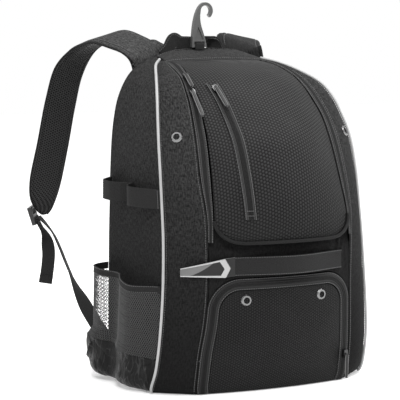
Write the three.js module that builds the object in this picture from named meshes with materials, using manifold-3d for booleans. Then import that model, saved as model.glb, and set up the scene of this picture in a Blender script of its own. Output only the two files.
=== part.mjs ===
// A baseball bat backpack: a hollow cloth body with a domed front pocket, bat sleeves on both
// sides, padded shoulder straps and a plastic hook for hanging it on a fence.
// Millimetres, +X to the right of someone facing the front, +Y to the back, +Z up.
// The origin is the middle of the base. Left and right are the viewer's.
import * as THREE from 'three';
import { mergeVertices } from 'three/addons/utils/BufferGeometryUtils.js';
import Module from 'manifold-3d';

const wasm = await Module();
wasm.setup();

// Driving dimensions
const bodyHeight = 474;
const bodyHalfWidth = 171;
const backPlane = 105; // from the origin back to the seam of the back panel
const sideDepth = 184; // back seam to the foremost point of the piping
const wall = 2; // laminated polyester
const gap = 0.3; // left between neighbouring pieces
const seamGap = 0.9; // left where two cloth walls meet at an angle
const backPadding = 2; // of the back panel's padding in front of the back seam
const backPaddingProud = 5; // and behind it
const baseThickness = 3;
const pipingRadius = 2;
const rimRadius = 2.4;
const tapeBow = 0.16; // the main zip's tape, as a share of its width
const domeCornerWide = 40;
const domeCornerTall = 30;
const recessTop = 240;
const archHeight = 164; // of the lower compartment's zip above the base
const archCorner = 46;
const lowerZipWidth = 16;
const pocketZipWidth = 14;
const eyeletRadius = 8;
const eyeletHole = 5;
const lowerEyeletIn = 37; // from the lower pocket's side edge to its eyelet
const lowerEyeletDown = 31; // and from the arch's top
const lowerSliderHeight = 40;
const padThickness = 9;
const anchorHeight = 34; // of the patch that the lower webbing is sewn under
const anchorMargin = 5; // of the patch beyond the webbing
const strapReach = 205; // how far behind the back seam the shoulder straps stand
const webbingWidth = 20;
const webbingThickness = 1.8;
const buckleWidth = 28;
const buckleHeight = 28;
const buckleThickness = 6;
const tailLength = 104;
const pocketBulge = 28.6; // how far a bat sleeve stands out from the side
const pocketCloth = 1.4;
const sleeveHemHeight = 152;
const hemBand = 10;
const cupHeight = 49; // at the piping
const cupRise = 18; // and how much higher it is at the back seam
const cupFlare = 13; // how much further the foot of a sleeve stands out at the back
const elasticHeight = 258;
const elasticWidth = 27;
const handleWidth = 24;
const handleThickness = 2.6;
const hookThickness = 6;
const hookHeight = 66;
const hookBaseWidth = 24;
const hookArcRadius = 12.4;
const hookWire = 4.6;
const hookSlotHeight = 3.5;
const hookBar = 5;
const gloveStrapWidth = 26;
const gloveStrapHeight = 181;
const sliderLength = 12;
const sliderWidth = 8;
const sliderThickness = 5;
const pullLength = 38;
const pullWidth = 5;
const pullThickness = 2.4;

// Materials
const cloth = new THREE.MeshStandardMaterial({ color: 0x3a3b3d, roughness: 0.9, metalness: 0 });
const domeCloth = new THREE.MeshStandardMaterial({ color: 0x2a2b2d, roughness: 0.8, metalness: 0 });
const meshCloth = new THREE.MeshStandardMaterial({ color: 0x161617, roughness: 0.8, metalness: 0 });
const webbing = new THREE.MeshStandardMaterial({ color: 0x1c1c1e, roughness: 0.85, metalness: 0 });
const zipTape = new THREE.MeshStandardMaterial({ color: 0x232325, roughness: 0.6, metalness: 0 });
const reflective = new THREE.MeshStandardMaterial({ color: 0xa9abad, roughness: 0.4, metalness: 0 });
const plastic = new THREE.MeshStandardMaterial({ color: 0x3a3b3c, roughness: 0.35, metalness: 0 });
const metal = new THREE.MeshStandardMaterial({ color: 0xb9babd, roughness: 0.3, metalness: 1 });

// The seams of one side, from the base to the top. Each row is one level. Columns: out, a share
// of the half width; fore, a share of the side depth in front of the back seam; up, of the height.
const stations = [
  // back seam            piping                      seam of the main zip
  [{ out: 0.915, up: 0.004 }, { out: 0.985, fore: 0.86, up: 0.004 }, { out: 0.700, fore: 1.085, up: 0.004 }],
  [{ out: 0.930, up: 0.021 }, { out: 0.998, fore: 0.89, up: 0.021 }, { out: 0.712, fore: 1.103, up: 0.021 }],
  [{ out: 0.935, up: 0.063 }, { out: 0.989, fore: 0.942, up: 0.063 }, { out: 0.713, fore: 1.125, up: 0.063 }],
  [{ out: 0.935, up: 0.127 }, { out: 0.980, fore: 0.980, up: 0.127 }, { out: 0.706, fore: 1.152, up: 0.127 }],
  [{ out: 0.935, up: 0.211 }, { out: 0.965, fore: 0.998, up: 0.211 }, { out: 0.682, fore: 1.190, up: 0.211 }],
  [{ out: 0.930, up: 0.316 }, { out: 0.945, fore: 0.998, up: 0.316 }, { out: 0.666, fore: 1.212, up: 0.316 }],
  [{ out: 0.924, up: 0.454 }, { out: 0.927, fore: 0.975, up: 0.454 }, { out: 0.670, fore: 1.214, up: 0.454 }],
  [{ out: 0.918, up: 0.527 }, { out: 0.921, fore: 0.950, up: 0.527 }, { out: 0.674, fore: 1.201, up: 0.527 }],
  [{ out: 0.910, up: 0.633 }, { out: 0.914, fore: 0.907, up: 0.633 }, { out: 0.682, fore: 1.111, up: 0.633 }],
  [{ out: 0.893, up: 0.738 }, { out: 0.895, fore: 0.839, up: 0.738 }, { out: 0.666, fore: 1.015, up: 0.738 }],
  [{ out: 0.868, up: 0.805 }, { out: 0.862, fore: 0.764, up: 0.802 }, { out: 0.646, fore: 0.923, up: 0.802 }],
  [{ out: 0.833, up: 0.855 }, { out: 0.833, fore: 0.702, up: 0.844 }, { out: 0.625, fore: 0.839, up: 0.844 }],
  [{ out: 0.770, up: 0.903 }, { out: 0.785, fore: 0.603, up: 0.886 }, { out: 0.598, fore: 0.723, up: 0.886 }],
  [{ out: 0.700, up: 0.935 }, { out: 0.707, fore: 0.450, up: 0.918 }, { out: 0.566, fore: 0.590, up: 0.918 }],
  [{ out: 0.600, up: 0.960 }, { out: 0.589, fore: 0.232, up: 0.949 }, { out: 0.527, fore: 0.342, up: 0.949 }],
  [{ out: 0.468, up: 0.975 }, { out: 0.485, fore: 0.103, up: 0.963 }, { out: 0.474, fore: 0.163, up: 0.961 }],
];

// The front pocket from its lower edge to the seam of the top band. Columns: out, fore and up of
// its side edge, and middleFore and middleUp of the line down its middle.
const domeRows = [
  { out: 0.636, fore: 1.250, up: 0.454, middleFore: 1.376, middleUp: 0.454 },
  { out: 0.624, fore: 1.223, up: 0.527, middleFore: 1.397, middleUp: 0.527 },
  { out: 0.600, fore: 1.141, up: 0.633, middleFore: 1.354, middleUp: 0.633 },
  { out: 0.576, fore: 1.040, up: 0.738, middleFore: 1.262, middleUp: 0.738 },
  { out: 0.561, fore: 0.945, up: 0.802, middleFore: 1.145, middleUp: 0.802 },
  { out: 0.539, fore: 0.857, up: 0.844, middleFore: 1.043, middleUp: 0.846 },
  { out: 0.522, fore: 0.738, up: 0.886, middleFore: 0.921, middleUp: 0.890 },
  { out: 0.500, fore: 0.610, up: 0.918, middleFore: 0.779, middleUp: 0.924 },
  { out: 0.452, fore: 0.400, up: 0.949, middleFore: 0.522, middleUp: 0.955 },
  { out: 0.440, fore: 0.168, up: 0.960, middleFore: 0.168, middleUp: 0.964 },
];

// The front below the dome. Columns: up, and fore at the zip seam and down the middle.
const frontRows = [
  { up: 0.000, edgeFore: 1.078, middleFore: 1.146 },
  { up: 0.021, edgeFore: 1.098, middleFore: 1.168 },
  { up: 0.063, edgeFore: 1.120, middleFore: 1.200 },
  { up: 0.127, edgeFore: 1.147, middleFore: 1.240 },
  { up: 0.211, edgeFore: 1.185, middleFore: 1.277 },
  { up: 0.316, edgeFore: 1.207, middleFore: 1.299 },
  { up: 0.422, edgeFore: 1.207, middleFore: 1.288 },
  { up: 0.450, edgeFore: 1.185, middleFore: 1.260 },
  { up: 0.520, edgeFore: 1.180, middleFore: 1.255 },
];

// Small helpers
const lerp = THREE.MathUtils.lerp;
const clamp = THREE.MathUtils.clamp;
const v = (x, y, z) => new THREE.Vector3(x, y, z);
const place = (row) => v(
  row.out * bodyHalfWidth,
  backPlane - (row.fore ?? 0) * sideDepth,
  row.up * bodyHeight,
);
const smoothLine = (points) => new THREE.CatmullRomCurve3(points, false, 'centripetal');
const steps = (count) => Array.from({ length: count + 1 }, (_, i) => i / count);

// A value from a table, between the rows whose key column brackets it.
function lookUp(rows, key, value, column) {
  const next = clamp(rows.findIndex((row) => row[key] >= value), 1, rows.length - 1);
  const last = value > rows[rows.length - 1][key] ? rows.length - 1 : next;
  const [a, b] = [rows[last - 1], rows[last]];
  const share = clamp((value - a[key]) / (b[key] - a[key]), 0, 1);
  return lerp(a[column], b[column], share);
}

// Turns quads and triangles of vertex numbers into a closed three.js geometry.
function fromFaces(points, faces) {
  const corners = faces.flatMap((f) => (f.length === 4 ? [f[0], f[1], f[2], f[0], f[2], f[3]] : f));
  const geometry = new THREE.BufferGeometry();
  geometry.setAttribute('position', new THREE.Float32BufferAttribute(points.flatMap((p) => p.toArray()), 3));
  geometry.setIndex(corners);
  return geometry;
}

// The outward side of a grid of points is the one from which its rows turn anticlockwise.
function gridNormals(grid) {
  return grid.map((row, i) => row.map((point, j) => {
    const along = grid[Math.min(i + 1, grid.length - 1)][j].clone().sub(grid[Math.max(i - 1, 0)][j]);
    const across = row[Math.min(j + 1, row.length - 1)].clone().sub(row[Math.max(j - 1, 0)]);
    return across.cross(along).normalize();
  }));
}

// A closed sheet between a grid of outer points and the same grid moved inwards.
function sheet(outer, thickness, normals = gridNormals(outer)) {
  const inner = outer.map((row, i) => row.map((p, j) => p.clone().addScaledVector(normals[i][j], -thickness)));
  return between(outer, inner);
}

// A closed solid between two grids of the same size, the first being the outer one.
function between(outer, inner) {
  const rows = outer.length;
  const columns = outer[0].length;
  const points = [...outer.flat(), ...inner.flat()];
  const top = (i, j) => i * columns + j;
  const under = (i, j) => rows * columns + i * columns + j;
  const faces = [];
  for (let i = 0; i < rows - 1; i += 1) {
    for (let j = 0; j < columns - 1; j += 1) {
      faces.push([top(i, j), top(i, j + 1), top(i + 1, j + 1), top(i + 1, j)]);
      faces.push([under(i, j), under(i + 1, j), under(i + 1, j + 1), under(i, j + 1)]);
    }
    faces.push([top(i, 0), top(i + 1, 0), under(i + 1, 0), under(i, 0)]);
    faces.push([top(i, columns - 1), under(i, columns - 1), under(i + 1, columns - 1), top(i + 1, columns - 1)]);
  }
  for (let j = 0; j < columns - 1; j += 1) {
    faces.push([top(0, j), under(0, j), under(0, j + 1), top(0, j + 1)]);
    faces.push([top(rows - 1, j), top(rows - 1, j + 1), under(rows - 1, j + 1), under(rows - 1, j)]);
  }
  return fromFaces(points, faces);
}

// A closed solid through rings of points, with flat ends.
function loft(rings) {
  const sides = rings[0].length;
  const points = rings.flat();
  const at = (i, j) => i * sides + (j % sides);
  const faces = [];
  for (let i = 0; i < rings.length - 1; i += 1) {
    for (let j = 0; j < sides; j += 1) faces.push([at(i, j), at(i, j + 1), at(i + 1, j + 1), at(i + 1, j)]);
  }
  for (let j = 1; j < sides - 1; j += 1) {
    faces.push([at(0, 0), at(0, j + 1), at(0, j)]);
    faces.push([at(rings.length - 1, 0), at(rings.length - 1, j), at(rings.length - 1, j + 1)]);
  }
  return fromFaces(points, faces);
}

// A strap: a section with rounded edges carried along a line. The directions across are turned
// square to the line. The outer face is the one that across and along point away from.
function strapRing(centre, along, across, width, thickness) {
  const square = across.clone().addScaledVector(along, -across.dot(along)).normalize();
  const out = square.clone().cross(along).normalize();
  const half = width / 2;
  const padded = thickness > 2 * webbingThickness;
  const section = padded
    ? [
      [-half + thickness / 2, 1], [half - thickness / 2, 1], [half, 0.35], [half, -0.35],
      [half - thickness / 2, -1], [-half + thickness / 2, -1], [-half, -0.35], [-half, 0.35],
    ]
    : [[-half, 1], [half, 1], [half, -1], [-half, -1]];
  return section.map(([a, b]) => centre.clone().addScaledVector(square, a).addScaledVector(out, (b * thickness) / 2));
}
function strap(line, acrossAt, width, thickness, count) {
  return loft(steps(count).map((t) => strapRing(line.getPointAt(t), line.getTangentAt(t), acrossAt(t), width, thickness)));
}
// The same between two given edges.
function strapBetween(inner, outer, thickness, count) {
  const middle = (t) => inner.getPoint(t).lerp(outer.getPoint(t), 0.5);
  const reach = 0.5 / count;
  return loft(steps(count).map((t) => {
    const along = middle(Math.min(1, t + reach)).sub(middle(Math.max(0, t - reach))).normalize();
    const across = outer.getPoint(t).sub(inner.getPoint(t));
    return strapRing(middle(t), along, across, across.length(), thickness);
  }));
}

// A round cord or piping along a line.
function roundCord(line, radius, sides, count) {
  const section = new THREE.Shape(steps(sides - 1).map((t, i) => {
    const angle = (i / sides) * 2 * Math.PI;
    return new THREE.Vector2(radius * Math.cos(angle), radius * Math.sin(angle));
  }));
  return new THREE.ExtrudeGeometry(section, { extrudePath: line, steps: count });
}

function solid(geometry) {
  const bare = geometry.index ? geometry.toNonIndexed() : geometry.clone();
  for (const name of Object.keys(bare.attributes)) if (name !== 'position') bare.deleteAttribute(name);
  const merged = mergeVertices(bare, 1e-4);
  return new wasm.Manifold(new wasm.Mesh({
    numProp: 3,
    vertProperties: merged.attributes.position.array,
    triVerts: new Uint32Array(merged.index.array),
  }));
}

function fromSolid(made) {
  const { vertProperties, triVerts } = made.getMesh();
  const geometry = new THREE.BufferGeometry();
  geometry.setAttribute('position', new THREE.BufferAttribute(vertProperties, 3));
  geometry.setIndex(new THREE.BufferAttribute(triVerts, 1));
  return geometry;
}

const cut = (geometry, ...tools) => fromSolid(tools.reduce((left, tool) => left.subtract(solid(tool)), solid(geometry)));

// Moves a shape drawn about the origin, with x across and y along it and z out of the surface.
function onSurface(geometry, at, along, out) {
  const z = out.clone().normalize();
  const y = along.clone().addScaledVector(z, -along.dot(z)).normalize();
  const x = y.clone().cross(z);
  return geometry.applyMatrix4(new THREE.Matrix4().makeBasis(x, y, z).setPosition(at));
}

function mirrored(geometry) {
  const flipped = geometry.index ? geometry.toNonIndexed() : geometry.clone();
  const position = flipped.getAttribute('position');
  for (let i = 0; i < position.count; i += 3) {
    const corner = [0, 2, 1].map((k) => v(-position.getX(i + k), position.getY(i + k), position.getZ(i + k)));
    corner.forEach((p, k) => position.setXYZ(i + k, p.x, p.y, p.z));
  }
  return flipped;
}

const backpack = new THREE.Group();
function add(name, geometry, material) {
  const piece = new THREE.Mesh(geometry, material);
  piece.name = name;
  backpack.add(piece);
}
function addPair(name, geometry, material) {
  add(`${name}_right`, geometry, material);
  add(`${name}_left`, mirrored(geometry), material);
}

// The seams as smooth lines of the right side
const backSeam = smoothLine(stations.map(([back]) => place(back)));
const pipingSeam = smoothLine(stations.map(([, piping]) => place(piping)));
const zipSeam = smoothLine(stations.map(([, , zip]) => place(zip)));
const domeEdge = smoothLine(domeRows.map(place));
const domeMiddle = smoothLine(domeRows.map((r) => place({ out: 0, fore: r.middleFore, up: r.middleUp })));
const domeFirstStation = 6 / (stations.length - 1); // the dome starts at this share of the seams

// Points from one seam to the next, bowed outwards by a share of the distance between them.
function bowed(a, b, out, bow, count, [from, to]) {
  const width = a.distanceTo(b);
  return steps(count).map((s) => {
    const share = lerp(from / width, 1 - to / width, s);
    return a.clone().lerp(b, share).addScaledVector(out, 4 * share * (1 - share) * bow * width);
  });
}

// Side panels and gussets are one wall that turns at the piping.
const wallLevels = 20;
const sideColumns = 4;
const gussetColumns = 4;
const sideBow = 0.03;
const gussetBow = 0.1;
function wallGrid() {
  return steps(wallLevels).map((t) => {
    const [back, piping, zip] = [backSeam, pipingSeam, zipSeam].map((line) => line.getPoint(t));
    const sideOut = v(1, 0, 0.4 * t * t).normalize();
    const up = zipSeam.getTangent(t);
    const gussetOut = up.clone().cross(zip.clone().sub(piping));
    gussetOut.setZ(gussetOut.z * Math.min(1, 8 * t)).normalize(); // level at the foot
    const side = bowed(back, piping, sideOut, sideBow, sideColumns, [0, 0]);
    const gusset = bowed(piping, zip, gussetOut, gussetBow, gussetColumns, [0, 0]);
    return [...side, ...gusset.slice(1)];
  });
}
const wallPoints = wallGrid().map((row) => row.slice().reverse());
const wallNormals = gridNormals(wallPoints);
wallNormals[0].forEach((normal) => normal.setZ(0).normalize()); // the wall's foot stays level

// A part of the wall between two columns, drawn in by half a gap where it meets the other part.
function wallPart(first, last) {
  const inset = gap / 2;
  const pick = (grid) => grid.map((row) => row.slice(first, last + 1));
  const points = pick(wallPoints).map((row) => row.map((p, j) => {
    if (j === 0 && first > 0) return p.clone().add(row[1].clone().sub(p).setLength(inset));
    if (j === row.length - 1 && last < gussetColumns + sideColumns) {
      return p.clone().add(row[j - 1].clone().sub(p).setLength(inset));
    }
    return p;
  }));
  return sheet(points, wall, pick(wallNormals));
}

// The middle of the gusset at a height, with the direction out of it and the way up.
function gussetAt(height, share) {
  const t = steps(200).find((s) => lerp(pipingSeam.getPoint(s).z, zipSeam.getPoint(s).z, share) >= height);
  const [piping, zip] = [pipingSeam, zipSeam].map((line) => line.getPoint(t));
  const up = zipSeam.getTangent(t);
  const out = up.clone().cross(zip.clone().sub(piping)).normalize();
  const at = piping.clone().lerp(zip, share);
  at.addScaledVector(out, 4 * share * (1 - share) * gussetBow * piping.distanceTo(zip));
  return { at, out, up };
}

// A rolled metal eyelet: a flange on the cloth and a barrel through it.
function eyelet() {
  const flange = 1.4;
  const lift = 2 * gap;
  const profile = [
    [eyeletHole - 1, -wall], [eyeletHole - gap, -wall], [eyeletHole - gap, lift], [eyeletRadius, lift],
    [eyeletRadius - 1.2, lift + flange], [eyeletHole - 0.4, lift + flange], [eyeletHole - 1, -wall],
  ];
  const turned = new THREE.LatheGeometry(profile.map(([r, z]) => new THREE.Vector2(r, z)), 12);
  return turned.rotateX(Math.PI / 2);
}
const eyeletCut = () => new THREE.CylinderGeometry(eyeletHole, eyeletHole, 8 * wall, 12).rotateX(Math.PI / 2);

function buildSides() {
  const spot = gussetAt(0.745 * bodyHeight, 0.5);
  const gusset = wallPart(0, gussetColumns);
  const hole = onSurface(eyeletCut(), spot.at, spot.up, spot.out);
  addPair('gusset', cut(gusset, hole), cloth);
  addPair('side_panel', wallPart(gussetColumns, gussetColumns + sideColumns), cloth);
  addPair('gusset_eyelet', onSurface(eyelet(), spot.at, spot.up, spot.out), metal);
  const corner = steps(wallLevels).map((t, i) => {
    const lift = pipingRadius + 2 * gap + seamGap * (1 - t) ** 12;
    return pipingSeam.getPoint(t).addScaledVector(wallNormals[i][gussetColumns], lift);
  });
  corner[0].z = Math.max(corner[0].z, pipingRadius + gap);
  addPair('piping', roundCord(smoothLine(corner), pipingRadius, 5, 34), reflective);
}

// The flat front below the dome, as a depth at a place across and up.
function frontAt(x, z) {
  const up = z / bodyHeight;
  const t = steps(100).find((s) => zipSeam.getPoint(s).z >= z) ?? 1;
  const half = zipSeam.getPoint(t).x;
  const share = 1 - Math.min(1, Math.abs(x) / half) ** 2;
  const fore = lerp(lookUp(frontRows, 'up', up, 'edgeFore'), lookUp(frontRows, 'up', up, 'middleFore'), share);
  return v(x, backPlane - fore * sideDepth, z);
}
const seamHalfAt = (z) => zipSeam.getPoint(steps(100).find((s) => zipSeam.getPoint(s).z >= z) ?? 1).x;

// The arch of the lower compartment: how high its edge stands at a place across.
function archTopAt(x, inset) {
  const half = seamHalfAt(archHeight - archCorner) - seamGap - inset;
  const corner = archCorner - inset;
  const past = Math.max(0, Math.abs(x) - (half - corner));
  return archHeight - inset - corner + Math.sqrt(Math.max(0, corner ** 2 - past ** 2));
}
const archHalfAt = (z, inset) => {
  const over = Math.max(0, z - (archHeight - archCorner)) / (archCorner - inset);
  const pulledIn = (archCorner - inset) * (1 - Math.sqrt(Math.max(0, 1 - over ** 2)));
  return seamHalfAt(z) - seamGap - inset - pulledIn;
};

function buildFront() {
  const foot = 1;
  const half = seamHalfAt(archHeight) - seamGap;
  const recess = steps(5).map((up) => steps(16).map((s) => {
    const x = half * Math.sin((s - 0.5) * Math.PI); // closer together at the arch's corners
    return frontAt(x, lerp(archTopAt(x, 0) + seamGap, recessTop, up));
  }));
  add('front_panel', sheet(recess, wall), cloth);

  const zipRows = (inset) => {
    const legs = steps(7).map((t) => lerp(foot, archHeight - archCorner, t));
    const right = legs.map((z) => [archHalfAt(z, inset), z]);
    const turn = steps(6).slice(1).map((t) => {
      const angle = (t * Math.PI) / 2;
      const corner = archCorner - inset;
      const middle = archHalfAt(archHeight - archCorner, inset) - corner;
      return [middle + corner * Math.cos(angle), archHeight - archCorner + corner * Math.sin(angle)];
    });
    const path = [...right, ...turn];
    const top = steps(5).slice(1, -1).map((t) => [lerp(path.at(-1)[0], -path.at(-1)[0], t), archHeight - inset]);
    const mirror = path.slice().reverse().map(([x, z]) => [-x, z]);
    return [...path, ...top, ...mirror];
  };
  const proud = 1.2;
  const band = [0, 0.5, 1].map((share) => zipRows(gap + share * lowerZipWidth).map(([x, z]) => {
    const point = frontAt(x, z);
    point.y -= share === 0.5 ? proud : 0;
    return point;
  }));
  add('lower_zip', sheet(band, wall), zipTape);

  const inset = lowerZipWidth + 3 * gap;
  const levels = [0, 0.08, 0.22, 0.4, 0.58, 0.72, 0.84, 0.92, 0.97, 1];
  const bulge = 5;
  const grid = levels.map((t) => steps(12).map((s) => {
    const z = lerp(foot, archHeight - inset, t);
    const across = 2 * s - 1;
    const point = frontAt(archHalfAt(z, inset) * across, z);
    point.y -= bulge * Math.sin(Math.PI * t) * (1 - across ** 4);
    return point;
  }));
  const spot = { x: archHalfAt(archHeight - archCorner, inset) - lowerEyeletIn, z: archHeight - lowerEyeletDown };
  const middle = frontAt(spot.x, spot.z);
  const share = (spot.z - foot) / (archHeight - inset - foot);
  middle.y -= bulge * Math.sin(Math.PI * share) * (1 - (spot.x / archHalfAt(spot.z, inset)) ** 4);
  const out = v(0.16, -1, 0);
  const hole = () => onSurface(eyeletCut(), middle.clone(), v(0, 0, 1), out);
  add('lower_pocket', cut(sheet(grid, wall), hole(), mirrored(hole())), domeCloth);
  addPair('lower_eyelet', onSurface(eyelet(), middle, v(0, 0, 1), out), metal);
  const sliderFoot = frontAt(archHalfAt(lowerSliderHeight, lowerZipWidth / 2), lowerSliderHeight);
  sliderFoot.y -= proud + 3.5 * gap;
  add('lower_slider', onSurface(slider(), sliderFoot, v(0, 0, 1), out), metal);
  const hang = sliderFoot.clone().addScaledVector(out.clone().normalize(), sliderThickness + gap);
  add('lower_pull', onSurface(pull(), hang, v(0, 0, -1), out), webbing);
}

// The domed pocket: a share across from -1 to 1 and a share from its lower edge to its top seam.
const domeRoundness = 2.2;
function domeAt(across, t) {
  const edge = domeEdge.getPoint(t);
  const middle = domeMiddle.getPoint(t);
  const share = 1 - Math.abs(across) ** domeRoundness;
  return v(edge.x * across, lerp(edge.y, middle.y, share), lerp(edge.z, middle.z, share));
}
// How much of the width the rounded lower corners leave at that share of the height.
function cornerLeaves(t) {
  const over = 1 - clamp((domeEdge.getPoint(t).z - domeEdge.getPoint(0).z) / domeCornerTall, 0, 1);
  return 1 - (domeCornerWide / domeEdge.getPoint(0).x) * (1 - Math.sqrt(1 - over ** 2));
}
const domeLevels = [0, 0.01, 0.035, 0.085, 0.17, 0.27, 0.37, 0.47, 0.57, 0.67, 0.77, 0.87, 0.94, 1];

function buildDome() {
  const sideInset = 1 - seamGap / domeEdge.getPoint(0.3).x;
  const face = domeLevels.map((t) => steps(14).map((s) => domeAt((2 * s - 1) * cornerLeaves(t) * sideInset, t)));
  const returned = face[0].map((p) => v(p.x * 0.985, frontAt(p.x, p.z + 2).y - wall - gap, p.z + 1.5));
  add('upper_pocket', sheet([returned, ...face], wall), domeCloth);

  const lower = domeLevels.filter((t) => t <= 0.1);
  const corner = lower.map((t) => domeAt(cornerLeaves(t), t)).reverse();
  const bottom = steps(8).slice(1, -1).map((s) => domeAt(lerp(1, -1, s) * cornerLeaves(0), 0));
  const other = corner.slice().reverse().map((p) => v(-p.x, p.y, p.z));
  const rim = [...corner, ...bottom, ...other];
  rim.forEach((p) => {
    p.y -= rimRadius + gap;
    p.z -= rimRadius / 2;
    p.x *= 1 + rimRadius / 2 / domeEdge.getPoint(0).x;
  });
  add('upper_pocket_rim', roundCord(smoothLine(rim), rimRadius, 5, 34), webbing);

  // The zip tape between the gusset and the dome
  const tape = steps(14).map((t) => {
    const seam = zipSeam.getPoint(lerp(domeFirstStation, 1, t));
    const edge = domeEdge.getPoint(t);
    const out = zipSeam.getTangent(lerp(domeFirstStation, 1, t)).cross(edge.clone().sub(seam)).normalize();
    return bowed(seam, edge, out, tapeBow, 2, [seamGap, seamGap]).reverse();
  });
  addPair('main_zip', sheet(tape, wall), zipTape);

  const spots = [{ name: 'upper', t: 0.76 }, { name: 'lower', t: 0.62 }];
  spots.forEach(({ name, t }) => {
    const seam = zipSeam.getPoint(lerp(domeFirstStation, 1, t));
    const edge = domeEdge.getPoint(t);
    const along = domeEdge.getTangent(t).negate();
    const out = edge.clone().sub(seam).cross(along).normalize();
    const at = seam.clone().lerp(edge, 0.5).addScaledVector(out, tapeBow * seam.distanceTo(edge) + 2 * gap);
    const hang = at.clone().addScaledVector(out, sliderThickness + gap);
    add(`main_slider_${name}`, mirrored(onSurface(slider(), at, along, out)), metal);
    add(`main_pull_${name}`, mirrored(onSurface(pull(), hang, along, out)), webbing);
  });

  // The zip of the pocket in the dome, slanting towards the middle on its way down
  const zipPath = steps(12).map((s) => ({ across: lerp(-0.75, -0.57, s), t: lerp(0.7, 0.1, s) }));
  const zipGrid = zipPath.map(({ across, t }) => [-1, 0, 1].map((side) => {
    const half = (side * pocketZipWidth) / 2 / domeEdge.getPoint(t).x;
    return domeAt(across + half, t);
  }));
  const raise = gap + 1.2;
  const zipOut = gridNormals(zipGrid).map((row) => row.map((n) => n.negate()));
  const tapeOut = zipGrid.map((row, i) => row.map((p, j) => p.clone().addScaledVector(zipOut[i][j], raise)).reverse());
  add('pocket_zip', sheet(tapeOut, 1), zipTape);
  const atRow = 1;
  const at = tapeOut[atRow][1].clone().addScaledVector(zipOut[atRow][1], gap);
  const along = tapeOut[atRow + 1][1].clone().sub(tapeOut[atRow][1]);
  add('pocket_slider', onSurface(slider(), at, along, zipOut[atRow][1]), metal);
  const hang = at.clone().addScaledVector(zipOut[atRow][1], sliderThickness + gap);
  add('pocket_pull', onSurface(pull(), hang, along, zipOut[atRow][1]), webbing);
}

// A zip slider standing on the surface, and the pull that lies along the zip from it.
function slider() {
  const [w, l] = [sliderWidth / 2, sliderLength / 2];
  const outline = new THREE.Shape([
    new THREE.Vector2(-w, -l * 0.5), new THREE.Vector2(-w * 0.6, -l), new THREE.Vector2(w * 0.6, -l),
    new THREE.Vector2(w, -l * 0.5), new THREE.Vector2(w * 0.8, l), new THREE.Vector2(-w * 0.8, l),
  ]);
  return new THREE.ExtrudeGeometry(outline, { depth: sliderThickness, bevelEnabled: false });
}
function pull() {
  const w = pullWidth / 2;
  const outline = new THREE.Shape();
  outline.moveTo(-w * 0.6, -2);
  outline.lineTo(w * 0.6, -2);
  outline.lineTo(w, pullLength - 6);
  outline.absarc(0, pullLength - 6, w, 0, Math.PI, false);
  return new THREE.ExtrudeGeometry(outline, { depth: pullThickness, bevelEnabled: false, curveSegments: 4 });
}

function buildBackTopBase() {
  const inset = wall + seamGap;
  const sideLine = steps(16).map((t) => backSeam.getPoint(t)).filter((p) => p.z > 2 * baseThickness);
  sideLine.unshift(backSeam.getPoint(0).setZ(baseThickness + gap));
  const underBand = wall + 2 * seamGap;
  const levels = sideLine.map((p) => {
    const nearTop = (p.z / bodyHeight) ** 8;
    return { half: p.x - inset - wall * nearTop, z: p.z - underBand * nearTop };
  });
  levels.push({ half: 0.78 * levels.at(-1).half, z: levels.at(-1).z + 4 });
  levels.push({ half: 0.5 * levels.at(-2).half, z: levels.at(-1).z + 3 });
  const outer = levels.map(({ half, z }, i) => steps(8).map((s) => {
    const across = 2 * s - 1;
    const nearEnd = Math.min(i, levels.length - 1 - i);
    const pillow = (1 - across ** 8) * clamp(0.4 + 0.3 * nearEnd, 0, 1);
    return v(half * across, backPlane + backPaddingProud * pillow, z);
  }).reverse());
  const inner = outer.map((row) => row.map((p) => v(p.x, backPlane - backPadding, p.z)));
  add('back_panel', between(outer, inner), cloth);

  const halfAt = (share) => lerp(zipSeam.getPoint(1).x, backSeam.getPoint(1).x, share);
  const band = steps(4).map((share) => steps(16).map((s) => {
    const across = 2 * s - 1;
    const front = lerp(domeEdge.getPoint(1).z, domeMiddle.getPoint(1).z, 1 - across ** 2);
    const back = lerp(backSeam.getPoint(1).z, bodyHeight, 1 - Math.abs(across) ** 3);
    const half = halfAt(share) - seamGap;
    const yFront = domeEdge.getPoint(1).y + seamGap;
    const crown = 2.5 * Math.sin(Math.PI * share);
    const yBack = backPlane + backPaddingProud;
    return v(half * across, lerp(yFront, yBack, share), lerp(front, back, share) + crown);
  }));
  add('top_panel', sheet(band, wall), cloth);

  const clear = wall + seamGap;
  const outline = [
    v(backSeam.getPoint(0).x - clear, backPlane + backPaddingProud, 0),
    v(pipingSeam.getPoint(0).x - clear, pipingSeam.getPoint(0).y + clear, 0),
    v(zipSeam.getPoint(0).x - clear, zipSeam.getPoint(0).y + clear, 0),
    ...steps(8).slice(1, -1).map((s) => {
      const x = lerp(zipSeam.getPoint(0).x - clear, -zipSeam.getPoint(0).x + clear, s);
      return v(x, frontAt(x, 1).y + clear, 0);
    }),
    v(-zipSeam.getPoint(0).x + clear, zipSeam.getPoint(0).y + clear, 0),
    v(-pipingSeam.getPoint(0).x + clear, pipingSeam.getPoint(0).y + clear, 0),
    v(-backSeam.getPoint(0).x + clear, backPlane + backPaddingProud, 0),
  ];
  const shape = new THREE.Shape(outline.map((p) => new THREE.Vector2(p.x, p.y)));
  add('base_panel', new THREE.ExtrudeGeometry(shape, { depth: baseThickness, bevelEnabled: false }), cloth);
}

// A place on the outside of the side panel: a share from the piping to the back seam, and a height.
function sideAt(share, z) {
  const t = steps(200).find((s) => lerp(pipingSeam.getPoint(s).z, backSeam.getPoint(s).z, share) >= z) ?? 1;
  const [piping, back] = [pipingSeam, backSeam].map((line) => line.getPoint(t));
  const at = piping.clone().lerp(back, share);
  at.x += 4 * share * (1 - share) * sideBow * piping.distanceTo(back);
  at.z = z;
  return at;
}

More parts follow.
